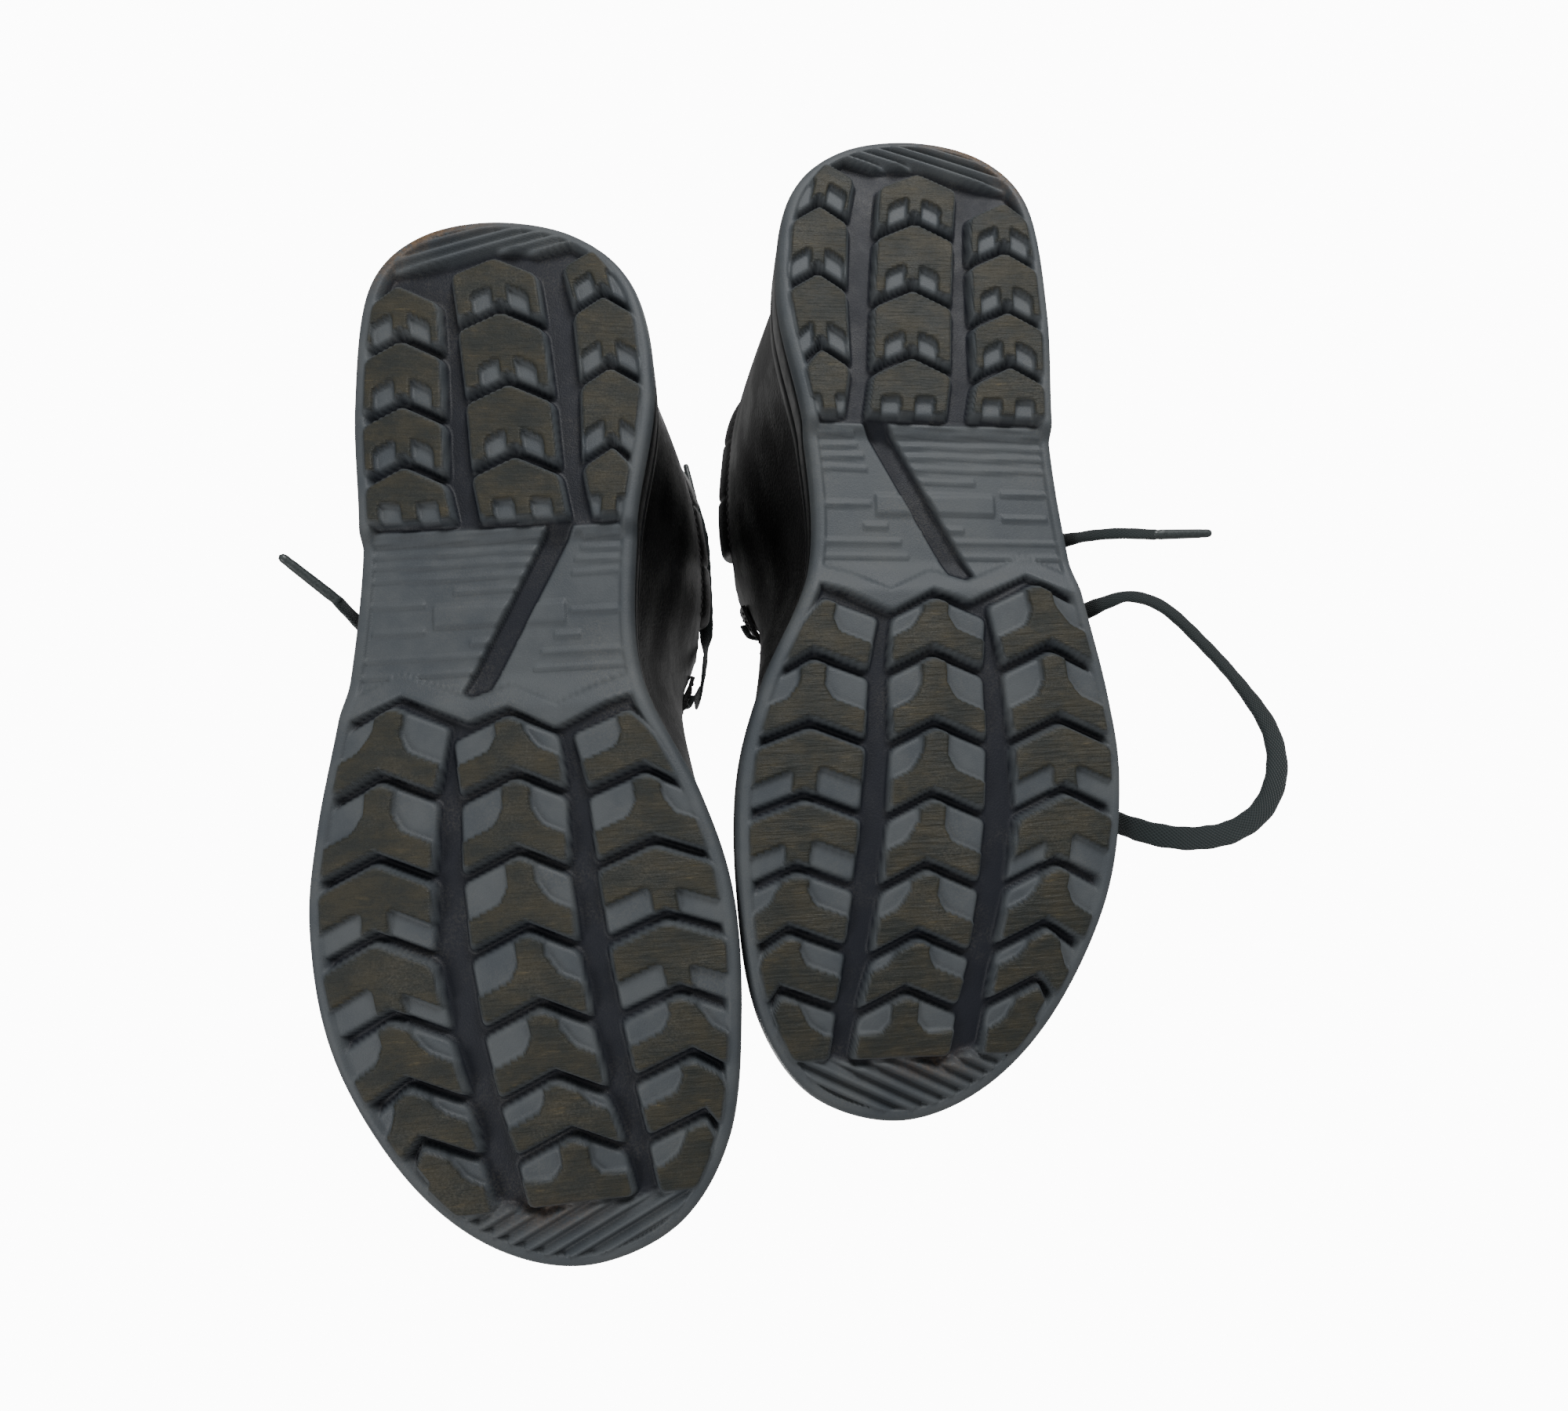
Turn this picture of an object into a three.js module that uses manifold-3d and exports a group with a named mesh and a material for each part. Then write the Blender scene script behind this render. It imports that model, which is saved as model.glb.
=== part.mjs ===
// A pair of ankle-high safety boots with steel toe caps, in millimetres, +Z up, standing on z = 0.
// Toes point along -Y. The left boot stands at +X, the right boot at -X and a little further back.
//
// One boot is worked out in its own frame: x is medial (+) or lateral (-), y is minus the distance
// from a line 5 mm in front of the heel tip, z is up. The left boot is the mirror image of the right one.
// A place on the foot outline or on the upper is given by a station: 0 is the heel centre and
// TOE is the toe centre, counted along the lateral or the medial side.

import * as THREE from "three";
import { mergeVertices } from "three/addons/utils/BufferGeometryUtils.js";
import Module from "manifold-3d";

const wasm = await Module();
wasm.setup();

// ---------- driving sizes ----------

const SOLE_LENGTH = 311;
const BALL_WIDTH = 115;
const SHAFT_HEIGHT = 150; // collar at the back, above the floor
const HALF_SPACING = 65.3; // heel centre to the plane between the boots
const SETBACK = 31.5; // how far the right boot stands behind the left one
const HEEL_Y = 134; // left heel tip, with the middle of the pair over the origin
const TOE_IN = THREE.MathUtils.degToRad(1.8);

const LUG_DEPTH = 4.5;
const OUTSOLE_BASE = 2.8;
const ARCH_RISE = 3.5;
const TOE_SPRING = 13;
const HEEL_BEVEL = 5;
const FOREFOOT_STACK = 19; // floor to the top of the midsole, under the ball
const HEEL_STACK = 29;

const LEATHER = 2.2;
const OVERLAY = 1.6;
const LINING = 2.8;
const CAP_STEEL = 2;
const CAP_LINING = 1.4;
const UPPER_INSET = 3; // the upper's foot sits this far inside the sole edge
const GAP = 0.3; // between pieces that touch
const CAP_GAP = 0.9; // round the steel cap, which is a stiff shell in soft ones
const SEAM = 0.02; // the same gap, in stations

const PLATE_THICKNESS = 1.2;
const BOARD_THICKNESS = 2;
const FOOTBED_THICKNESS = 4.5;
const TONGUE_THICKNESS = 6;

const LACE_WIDTH = 7;
const LACE_THICKNESS = 1.6;
const LACE_PULL = 0.36; // how far a laced strand bows over the tongue
const AGLET_LENGTH = 18;
const AGLET_RADIUS = 1.7;
const AGLET_GAP = 0.8; // the aglet may turn a little from the lace behind it
const EYELET_RADIUS = 4.2;
const EYELET_HOLE = 2.2;
const EYELET_HEIGHT = 1.1;
const EYELET_ROOT = 0.6; // sunk into the facing

// ---------- outline and skin tables ----------

const TABLE_LENGTH = 311;
const TABLE_WIDTH = 115;
const TABLE_HEIGHT = 150;
const TOE = 11;
const THROAT = 8; // station where the two sides of the throat meet

// sole outline: [b, a], b towards the medial side, a from 5 mm in front of the heel tip
const OUTLINE = {
  lateral: [
    [-2, -5], [-24.5, 1.5], [-39, 21], [-43.4, 58], [-43, 100], [-47.5, 140],
    [-55.3, 180], [-57.4, 208], [-51.5, 242], [-34.5, 276.5], [-13.5, 298], [11, 306],
  ],
  medial: [
    [-2, -5], [22.5, 1.5], [40, 21], [43.9, 55], [36, 97], [34.8, 140],
    [50, 177], [57.4, 206], [57.4, 240], [52, 273.5], [36.5, 297], [11, 306],
  ],
};

// top line: [b, a, z] round the collar and down the throat to where its sides meet
const TOP_LINE = {
  lateral: [
    [8, 2, 150], [-17, 10, 149], [-33, 30, 147], [-39, 58, 147], [-38, 90, 151],
    [-27, 120, 157], [-20, 148, 123], [-11, 176, 97], [2, 194, 83],
  ],
  medial: [
    [8, 2, 150], [34, 9, 149], [51, 29, 147], [56.5, 57, 147], [57, 89, 151],
    [48, 119, 157], [33, 147, 123], [15, 176, 97], [2, 194, 83],
  ],
};

// ridge of the vamp from the throat to the toe cap: [b, a, z]
const RIDGE = [[2, 194, 83], [4, 228, 76.5], [7, 258, 72.5], [10, 281, 69]];

// how each meridian leaves the sole and reaches its top: [out, up, out, up]
const FULLNESS = [
  [3, 36, -5, -44], [3, 35, -4, -42], [3, 34, 0, -40], [3, 33, 1, -42], [3, 33, 2, -42], [3, 32, 5, -38],
  [4, 30, 15, -26], [5, 27, 24, -13], [5, 26, 30, 1], [4, 27, 31, 0], [3, 27, 23, 0], [2, 27, 13, -1],
];

// ---------- small helpers ----------

const mix = (low, high, t) => low + (high - low) * t;
const steps = (low, high, count) => Array.from({ length: count + 1 }, (_, i) => mix(low, high, i / count));
// The two ends and every multiple of a pitch between them, so that layers share their corners.
function stops(low, high, pitch) {
  const inner = [];
  for (let i = Math.ceil(low / pitch + 0.2); i * pitch < high - 0.2 * pitch; i++) inner.push(i * pitch);
  return [low, ...inner, high];
}

const smooth = (low, high, value) => THREE.MathUtils.smoothstep(value, low, high);
const other = (side) => (side === "lateral" ? "medial" : "lateral");

// A smooth curve through the rows of a table, with a row before the first and one after the last.
function through(rows, before, after, station) {
  const last = rows.length - 1;
  const i = Math.min(Math.max(Math.floor(station), 0), last - 1);
  const t = station - i;
  const row = (j) => (j < 0 ? before : j > last ? after : rows[j]);
  return rows[i].map((value, column) => {
    const [p0, p1, p2, p3] = [row(i - 1), row(i), row(i + 1), row(i + 2)].map((r) => r[column]);
    const bend = 2 * p0 - 5 * p1 + 4 * p2 - p3;
    const twist = 3 * p1 - p0 - 3 * p2 + p3;
    return p1 + 0.5 * ((p2 - p0) * t + bend * t * t + twist * t * t * t);
  });
}

// ---------- levels under the foot, as functions of a ----------

const lengthScale = SOLE_LENGTH / TABLE_LENGTH;
const widthScale = BALL_WIDTH / TABLE_WIDTH;
const SPRING_START = 215 * lengthScale;
const SPRING_FULL = 302 * lengthScale;
const HEEL_TIP = -5;
const BEVEL_END = 22;
const HEEL_BREAST = 94 * lengthScale;
const ARCH_END = 150 * lengthScale;

function ground(a) {
  const toe = Math.max(0, (a - SPRING_START) / (SPRING_FULL - SPRING_START));
  const heel = Math.max(0, (BEVEL_END - a) / (BEVEL_END - HEEL_TIP));
  return TOE_SPRING * toe * toe + HEEL_BEVEL * heel * heel;
}

function outsoleBottom(a) {
  const arch = smooth(HEEL_BREAST, HEEL_BREAST + 6, a) * (1 - smooth(ARCH_END - 12, ARCH_END, a));
  return ground(a) + LUG_DEPTH + ARCH_RISE * arch;
}

const outsoleTop = (a) => outsoleBottom(a) + OUTSOLE_BASE;

function feather(a) {
  const heel = 1 - smooth(80 * lengthScale, 190 * lengthScale, a);
  return ground(a) + mix(FOREFOOT_STACK, HEEL_STACK, heel);
}

// ---------- outline ----------

function outlineAt(side, station) {
  const rows = OUTLINE[side];
  const mirror = OUTLINE[other(side)];
  const [b, a] = through(rows, mirror[1], mirror[TOE - 1], station);
  return new THREE.Vector2(b * widthScale, a * lengthScale);
}

// Outward direction of the outline, square to it.
function outwardAt(side, station) {
  const reach = 0.02;
  const from = outlineAt(side, station - reach);
  const to = outlineAt(side, station + reach);
  const sign = side === "lateral" ? 1 : -1;
  return new THREE.Vector2(-(to.y - from.y) * sign, (to.x - from.x) * sign).normalize();
}

function insetOutline(side, station, inset) {
  return outlineAt(side, station).addScaledVector(outwardAt(side, station), -inset);
}

// ---------- skin of the upper ----------

function topAt(side, station) {
  const rows = TOP_LINE[side];
  const mirror = TOP_LINE[other(side)];
  const [b, a, z] =
    station < THROAT
      ? through(rows, mirror[1], mirror[THROAT - 1], station)
      : through(RIDGE, [1, 172, 92], RIDGE[2], station - THROAT);
  const rise = (SHAFT_HEIGHT - HEEL_STACK) / (TABLE_HEIGHT - HEEL_STACK);
  const lifted = a < 200 ? mix(z, HEEL_STACK + (z - HEEL_STACK) * rise, 1 - smooth(100, 194, a)) : z;
  return new THREE.Vector3(b * widthScale, -a * lengthScale, lifted);
}

function skinPoint(side, station, v) {
  const foot = insetOutline(side, station, UPPER_INSET);
  const out = outwardAt(side, station);
  const [out1, up1, out2, up2] = through(FULLNESS, FULLNESS[1], FULLNESS[TOE - 1], station);
  const p0 = new THREE.Vector3(foot.x, -foot.y, feather(foot.y) + GAP);
  const p1 = p0.clone().add(new THREE.Vector3(out.x * out1, -out.y * out1, up1));
  const p3 = topAt(side, station);
  const p2 = p3.clone().add(new THREE.Vector3(out.x * out2, -out.y * out2, up2));
  const u = 1 - v;
  return p0
    .multiplyScalar(u * u * u)
    .addScaledVector(p1, 3 * u * u * v)
    .addScaledVector(p2, 3 * u * v * v)
    .addScaledVector(p3, v * v * v);
}

// Point at a depth from the skin: outwards is positive. The two sides share the centre lines.
function skin(wantedSide, station, v, depth) {
  const shared = station <= 0 || station >= TOE || (v >= 1 && station >= THROAT);
  const side = shared ? "lateral" : wantedSide;
  const reach = 0.01;
  const sign = side === "lateral" ? 1 : -1;
  const point = skinPoint(side, station, v);
  const up = skinPoint(side, station, v + reach).sub(skinPoint(side, station, v - reach));
  let along = skinPoint(side, station + reach, v).sub(skinPoint(side, station - reach, v));
  if (station <= 0) along = new THREE.Vector3(-sign, 0, 0);
  if (station >= TOE) along = new THREE.Vector3(sign, 0, 0);
  let normal = along.cross(up).multiplyScalar(sign);
  if (v >= 1 && station >= THROAT && station < TOE) {
    const ahead = topAt(side, station + reach).sub(topAt(side, Math.max(station - reach, THROAT)));
    normal = ahead.cross(new THREE.Vector3(1, 0, 0));
  }
  return point.addScaledVector(normal.normalize(), depth);
}

// ---------- solids ----------

// Drops the corners that fell together and makes the faces point outwards.
function closedGeometry(positions, indices) {
  const loose = new THREE.BufferGeometry();
  loose.setAttribute("position", new THREE.Float32BufferAttribute(positions, 3));
  loose.setIndex(indices);
  const merged = mergeVertices(loose, 1e-3);
  const corner = merged.getAttribute("position");
  const kept = [];
  let volume = 0;
  for (let i = 0; i < merged.index.count; i += 3) {
    const face = [0, 1, 2].map((j) => merged.index.getX(i + j));
    if (new Set(face).size < 3) continue;
    const [p, q, r] = face.map((j) => new THREE.Vector3().fromBufferAttribute(corner, j));
    volume += p.dot(q.cross(r));
    kept.push(face);
  }
  merged.setIndex(kept.flatMap(([p, q, r]) => (volume > 0 ? [p, q, r] : [p, r, q])));
  return merged;
}

// A solid between two grids of points of the same shape. When the last row is a fold, where its
// two halves lie on each other, it needs no wall.
function between(outer, inner, folded = false) {
  const rows = outer.length;
  const columns = outer[0].length;
  const positions = [...outer.flat(), ...inner.flat()].flatMap((p) => [p.x, p.y, p.z]);
  const at = (layer, i, j) => layer * rows * columns + i * columns + j;
  const indices = [];
  const quad = (p, q, r, s) => indices.push(p, q, r, p, r, s);
  for (let i = 0; i + 1 < rows; i++) {
    for (let j = 0; j + 1 < columns; j++) {
      quad(at(0, i, j), at(0, i + 1, j), at(0, i + 1, j + 1), at(0, i, j + 1));
      quad(at(1, i, j), at(1, i, j + 1), at(1, i + 1, j + 1), at(1, i + 1, j));
    }
    quad(at(0, i, 0), at(1, i, 0), at(1, i + 1, 0), at(0, i + 1, 0));
    quad(at(0, i, columns - 1), at(0, i + 1, columns - 1), at(1, i + 1, columns - 1), at(1, i, columns - 1));
  }
  for (let j = 0; j + 1 < columns; j++) {
    quad(at(0, 0, j), at(0, 0, j + 1), at(1, 0, j + 1), at(1, 0, j));
    if (folded) continue;
    quad(at(0, rows - 1, j), at(1, rows - 1, j), at(1, rows - 1, j + 1), at(0, rows - 1, j + 1));
  }
  return closedGeometry(positions, indices);
}

// A solid through a row of rings of the same number of points, closed at both ends.
function loft(rings) {
  const count = rings[0].length;
  const positions = rings.flat().flatMap((p) => [p.x, p.y, p.z]);
  const indices = [];
  for (let i = 0; i + 1 < rings.length; i++) {
    for (let j = 0; j < count; j++) {
      const next = (j + 1) % count;
      const [p, q, r, s] = [i * count + j, (i + 1) * count + j, (i + 1) * count + next, i * count + next];
      indices.push(p, q, r, p, r, s);
    }
  }
  const end = (rings.length - 1) * count;
  for (let j = 1; j + 1 < count; j++) {
    indices.push(0, j, j + 1, end, end + j + 1, end + j);
  }
  return closedGeometry(positions, indices);
}

function toSolid(geometry) {
  const bare = geometry.clone();
  bare.deleteAttribute("normal");
  bare.deleteAttribute("uv");
  const merged = mergeVertices(bare, 1e-3);
  const vertProperties = new Float32Array(merged.getAttribute("position").array);
  const triVerts = new Uint32Array(merged.index.array);
  return new wasm.Manifold(new wasm.Mesh({ numProp: 3, vertProperties, triVerts }));
}

function fromSolid(solid) {
  const { vertProperties, triVerts } = solid.getMesh();
  const geometry = new THREE.BufferGeometry();
  geometry.setAttribute("position", new THREE.Float32BufferAttribute(vertProperties, 3));
  geometry.setIndex(Array.from(triVerts));
  return geometry;
}

const SLIVER = 0.004; // edges shorter than this are closed up after a join

function joined(geometries) {
  return fromSolid(geometries.map(toSolid).reduce((sum, solid) => sum.add(solid)).simplify(SLIVER));
}

// ---------- sole ----------

// A layer that fills the outline, between two levels that depend on a.
function soleLayer({ inset, low, high, stations = 22, columns = 2, from = 0, to = TOE }) {
  const grid = (level) =>
    steps(from, to, stations).map((station) => {
      const edge = insetOutline("lateral", station, inset);
      const far = insetOutline("medial", station, inset);
      return steps(0, 1, columns).map((t) => {
        const p = edge.clone().lerp(far, t);
        return new THREE.Vector3(p.x, -p.y, level(p.y));
      });
    });
  return between(grid(high), grid(low));
}

// A vertical block with the given plan corners [b, a], from inside the base down to the ground line.
function lug(corners, depth = LUG_DEPTH) {
  const ring = (level) => corners.map(([b, a]) => new THREE.Vector3(b, -a, level(a)));
  const root = (a) => outsoleBottom(a) + OUTSOLE_BASE * 0.4;
  return loft([ring((a) => outsoleBottom(a) - depth), ring(root)]);
}

// Outline [b] of the outsole at a distance a from the heel tip, less an inset.
function sideAt(side, a, inset) {
  let low = 0;
  let high = TOE;
  for (let i = 0; i < 30; i++) {
    const middle = (low + high) / 2;
    if (insetOutline(side, middle, inset).y < a) low = middle;
    else high = middle;
  }
  return insetOutline(side, low, inset).x;
}

const RIM = 3.2; // flat edge left outside the lugs
const LUG_GAP = 3.6;
const CHEVRON_RISE = 6;

// Columns of chevron lugs: apex of each row [b, a], half widths towards the two sides.
// A side without a half width runs out to the rim.
const HEEL_COLUMNS = [
  { apexes: [[-29.5, 20.5], [-29, 38], [-29, 58.5], [-29, 77]], medial: 11.5, rise: 6 },
  { apexes: [[-1.5, 11.5], [0, 29.5], [1.5, 52.5], [2.5, 75]], lateral: 12.5, medial: 12.5, rise: 6 },
  { apexes: [[28, 9], [30.5, 25], [31.5, 48], [31, 73]], lateral: 9, rise: 6 },
];
const FOREFOOT_COLUMNS = [
  {
    apexes: [[-34, 147], [-37.5, 168], [-39, 190], [-39.5, 211], [-36, 232], [-32.5, 250], [-30, 266]],
    medial: 15,
    rise: 7,
  },
  {
    apexes: [[-2.5, 151.5], [-1, 169.5], [-1, 191], [0.5, 212], [3, 232.5], [6, 252], [9.5, 268]],
    lateral: 15,
    medial: 13.5,
    rise: 6.5,
  },
  {
    apexes: [[31.5, 152], [35, 170.5], [36.5, 191], [38.5, 212], [41, 232.5], [43.5, 250], [46, 267]],
    lateral: 16,
    rise: 6,
  },
];
const HEEL_END = 93.5;
const FOREFOOT_END = 286;

// The chevron blocks of one column; each ends a gap before the next apex line.
function columnLugs({ apexes, lateral, medial, rise }, end) {
  return apexes.map(([b, a], row) => {
    const next = apexes[row + 1];
    const last = !next;
    const [nextB, nextA] = next ?? [b + 2, end];
    const notch = last ? 0 : rise;
    const drop = (nextA - a) * lengthScale - (last ? 0 : LUG_GAP);
    const top = a * lengthScale;
    const shoulder = top + rise;
    const foot = last ? top + drop : top + drop + rise;
    const reach = (side, width, centre, along) => {
      const sign = side === "lateral" ? -1 : 1;
      const edge = sideAt(side, Math.min(along, SPRING_FULL - 6), RIM);
      const wanted = width === undefined ? edge : centre + sign * width;
      return sign < 0 ? Math.max(wanted, edge) : Math.min(wanted, edge);
    };
    const centre = b * widthScale;
    const nextCentre = nextB * widthScale;
    const feet = [reach("medial", medial, nextCentre, foot), reach("lateral", lateral, nextCentre, foot)];
    return [
      [centre, top],
      [reach("medial", medial, centre, shoulder), shoulder],
      [feet[0], foot],
      [last ? (feet[0] + feet[1]) / 2 : nextCentre, foot - notch],
      [feet[1], foot],
      [reach("lateral", lateral, centre, shoulder), shoulder],
    ];
  });
}

// Thin ridges across the waist: [a, from b, to b].
const WAIST_RIDGES = [
  [102, -40, 9], [106, -40, 8], [109.5, -40, 7], [117, -40, -22], [125, -40, -20], [133, -43, -3],
  [137.5, -44, -5],
  [102, 18, 33], [106, 17, 32], [110, 16, 31], [125, 11, 31], [133, 7, 32], [137.5, 5, 33],
];
const RIDGE_HALF = 0.7;
const RIDGE_DEPTH = 1;

function waistRidges() {
  return WAIST_RIDGES.map(([a, from, to]) => {
    const [low, high] = [(a - RIDGE_HALF) * lengthScale, (a + RIDGE_HALF) * lengthScale];
    const [left, right] = [from * widthScale, to * widthScale];
    return lug([[left, low], [right, low], [right, high], [left, high]], RIDGE_DEPTH);
  });
}

// Slanted ribs at the heel tip and the toe tip: [b, a] of the two ends.
const TIP_RIBS = [
  [[-27, 9.5], [-10, 3.5]], [[-29, 14], [6, 3.5]], [[-12, 12.5], [18, 5.5]],
  [[-4, 291], [22, 282.5]], [[0, 294.5], [30, 284]], [[6, 297], [38, 286]],
];
const RIB_HALF = 1.2;

function tipRibs() {
  return TIP_RIBS.map(([[b0, a0], [b1, a1]]) => {
    const ends = [[b0, a0 - RIB_HALF], [b1, a1 - RIB_HALF], [b1, a1 + RIB_HALF], [b0, a0 + RIB_HALF]];
    return lug(ends.map(([b, a]) => [b * widthScale, a * lengthScale]), LUG_DEPTH * 0.7);
  });
}

function outsole() {
  const base = soleLayer({ inset: 0, low: outsoleBottom, high: outsoleTop });
  const heel = HEEL_COLUMNS.flatMap((column) => columnLugs(column, HEEL_END));
  const forefoot = FOREFOOT_COLUMNS.flatMap((column) => columnLugs(column, FOREFOOT_END));
  const lugs = [...heel, ...forefoot].map((corners) => lug(corners));
  return joined([base, ...lugs, ...waistRidges(), ...tipRibs()]);
}

const MIDSOLE_INSET = -0.4;
const BOARD_INSET = UPPER_INSET + LEATHER + CAP_GAP + CAP_STEEL + CAP_GAP + CAP_LINING + 2;

function underfoot(lift, thickness, inset = BOARD_INSET, from = 0, to = TOE) {
  const low = (a) => feather(a) + lift;
  const high = (a) => feather(a) + lift + thickness;
  return soleLayer({ inset, low, high, from, to });
}

// ---------- upper ----------

const PITCH = TOE / 20; // stations between the corners that all layers of the upper share
const CAP_BACK = 17 * PITCH; // rear edge of the steel cap
const COUNTER_END = 3 * PITCH;
const COLLAR_END = 4.3;
const FACING_START = 8 * PITCH; // here the leather starts to rise from the collar to the throat edge
const COLLAR_FOOT = 0.84;
const WEDGE_BACK = 11 * PITCH; // between these the corners follow the vamp seam
const WEDGE_FRONT = 15 * PITCH;
const WEDGE = [1 / 3, 2 / 3, 1];
const LEVELS = [0, 0.2, 0.4, 0.6, 0.8, 1];

const seamStation = (v) => mix(6.2, THROAT, v ** 0.7); // vamp seam, from the sole to the throat

// Top edge of the leather: under the collar roll, then up to the throat edge.
const leatherTop = (station) => mix(COLLAR_FOOT, 1, smooth(FACING_START, FACING_START + PITCH, station));

const skinGrid = (rows, depth) =>
  rows.map((row) => row.map(([side, station, v]) => skin(side, station, v, depth)));

// A layer of the upper between two depths; its rows are lists of places [side, station, v].
const layer = (rows, [deep, shallow], folded) =>
  between(skinGrid(rows, shallow), skinGrid(rows, deep), folded);

// Stations from one side round the heel centre to the other, as [side, station].
function acrossHeel(reach) {
  const half = stops(0, reach, PITCH);
  const lateral = half.slice(1).reverse().map((station) => ["lateral", station]);
  return [...lateral, ...half.map((station) => ["medial", station])];
}

// A panel that crosses the heel centre, from the lateral to the medial side.
function heelPanel(reach, levels, depths) {
  const rows = acrossHeel(reach).map(([side, station]) =>
    levels.map((v) => [side, station, v * leatherTop(station)]),
  );
  return layer(rows, depths);
}

// A panel of one side, from a station to the vamp seam.
function sidePanel(side, from, levels, depths, seam = SEAM) {
  const straight = stops(from, WEDGE_BACK, PITCH).map((station) => levels.map(() => station));
  const slanted = WEDGE.map((share) => levels.map((v) => mix(WEDGE_BACK, seamStation(v) - seam, share)));
  const rows = [...straight, ...slanted].map((row) =>
    row.map((station, i) => [side, station, levels[i] * leatherTop(station)]),
  );
  if (side === "lateral") rows.reverse(); // the same way round as the panels across the heel
  return layer(rows, depths);
}

const OVER = [
  ...LEVELS.map((v) => ["lateral", v]),
  ...LEVELS.slice(0, -1).reverse().map((v) => ["medial", v]),
];

// A panel over the ridge to the toe centre, from the vamp seam.
function vampPanel(depths, seam = SEAM) {
  const slanted = [0, ...WEDGE.slice(0, -1)].map((share) =>
    OVER.map(([side, v]) => [side, mix(seamStation(v) + seam, WEDGE_FRONT, share), v]),
  );
  return layer([...slanted, ...toeRows(WEDGE_FRONT, TOE)], depths, true);
}

const toeRows = (from, to) =>
  stops(from, to, PITCH).map((station) => OVER.map(([side, v]) => [side, station, v]));

const BACKSTAY_LEVELS = [0.12, 0.2, 0.4, 0.6, 0.8, 0.96];

const COLLAR_MIDDLE = 0.925;
const COLLAR_SPREAD = 0.075;
const COLLAR_DEPTH = -2.2;
const COLLAR_RADIUS = 5;

function collar() {
  const turns = steps(0, 2 * Math.PI, 8).slice(0, -1);
  const rings = acrossHeel(COLLAR_END).map(([side, station]) =>
    turns.map((angle) => {
      const v = COLLAR_MIDDLE - COLLAR_SPREAD * Math.cos(angle);
      return skin(side, station, v, COLLAR_DEPTH + COLLAR_RADIUS * Math.sin(angle));
    }),
  );
  return loft(rings);
}

// Facing with its row of eyelets, on the outside along the throat edge.
const FACING_FROM = 5.02;
const FACING_LEVELS = [0.8, 1];
const FACING_LIFT = 2 * GAP;
const EYELET_STATIONS = [7.4, 6.95, 6.43, 5.9, 5.35];

// Middle of the facing strip at a station, and the way across it towards the throat.
function facingPoint(side, station, depth) {
  const [inner, edge] = FACING_LEVELS.map((v) => skin(side, station, v, depth));
  return inner.lerp(edge, 0.5);
}

function facingHeading(side, station) {
  const [inner, edge] = FACING_LEVELS.map((v) => skin(side, station, v, 0));
  return edge.sub(inner).normalize();
}

function eyelet(side, station) {
  const at = facingPoint(side, station, FACING_LIFT + OVERLAY - EYELET_ROOT);
  const away = facingPoint(side, station, FACING_LIFT + OVERLAY + EYELET_HEIGHT).sub(at).normalize();
  const half = (EYELET_RADIUS + EYELET_HOLE) / 2;
  const profile = [
    [EYELET_HOLE, 0],
    [EYELET_RADIUS, 0],
    [half, EYELET_HEIGHT + EYELET_ROOT],
    [EYELET_HOLE, 0],
  ];
  const ring = new THREE.LatheGeometry(profile.map(([r, y]) => new THREE.Vector2(r, y)), 6);
  ring.applyQuaternion(new THREE.Quaternion().setFromUnitVectors(new THREE.Vector3(0, 1, 0), away));
  ring.translate(at.x, at.y, at.z);
  ring.deleteAttribute("normal");
  ring.deleteAttribute("uv");
  return closedGeometry(Array.from(ring.getAttribute("position").array), Array.from(ring.index.array));
}

function eyeletFacing(side) {
  const strip = sidePanel(side, FACING_FROM, FACING_LEVELS, [FACING_LIFT, FACING_LIFT + OVERLAY]);
  return joined([strip, ...EYELET_STATIONS.map((station) => eyelet(side, station))]);
}

// ---------- tongue ----------

const TONGUE_DEPTH = -LEATHER - LINING - 3.4;
const TONGUE_FOOT = 7.8;
const TONGUE_HEAD = 5.1;
const TONGUE_RISE = 28; // above the top of the facings
const TONGUE_V = 0.93;

function tongueLine(station) {
  const reach = 0.04;
  const edge = (side) => skin(side, station, TONGUE_V, TONGUE_DEPTH);
  const heading = (side) =>
    edge(side).sub(skin(side, station, TONGUE_V - reach, TONGUE_DEPTH)).normalize();
  const [a, b] = [edge("lateral"), edge("medial")];
  const pull = a.distanceTo(b) * 0.3;
  const curve = new THREE.CubicBezierCurve3(
    a,
    a.clone().addScaledVector(heading("lateral"), pull),
    b.clone().addScaledVector(heading("medial"), pull),
    b,
  );
  return steps(0, 1, 8).map((t) => curve.getPoint(t));
}

function tongueGrid() {
  const laced = steps(TONGUE_FOOT, TONGUE_HEAD, 7).map(tongueLine);
  const [before, top] = laced.slice(-2);
  const middle = top[4];
  const climb = middle.clone().sub(before[4]).normalize();
  const head = [0.5, 1].map((share) =>
    top.map((p) => p.clone().addScaledVector(climb, TONGUE_RISE * share).lerp(
      middle.clone().addScaledVector(climb, TONGUE_RISE * share), 0.12 * share)),
  );
  return [...laced, ...head];
}

function thickened(grid, thickness) {
  const rows = grid.length - 1;
  const columns = grid[0].length - 1;
  return grid.map((line, i) =>
    line.map((p, j) => {
      const along = grid[Math.min(i + 1, rows)][j].clone().sub(grid[Math.max(i - 1, 0)][j]);
      const across = line[Math.min(j + 1, columns)].clone().sub(line[Math.max(j - 1, 0)]);
      return p.clone().addScaledVector(along.cross(across).normalize(), thickness);
    }),
  );
}

function tongue() {
  const grid = tongueGrid();
  return between(grid, thickened(grid, TONGUE_THICKNESS));
}

// ---------- laces ----------

const FLAT_SECTION = [[0.5, 0.5], [-0.5, 0.5], [-0.5, -0.5], [0.5, -0.5]];

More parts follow.
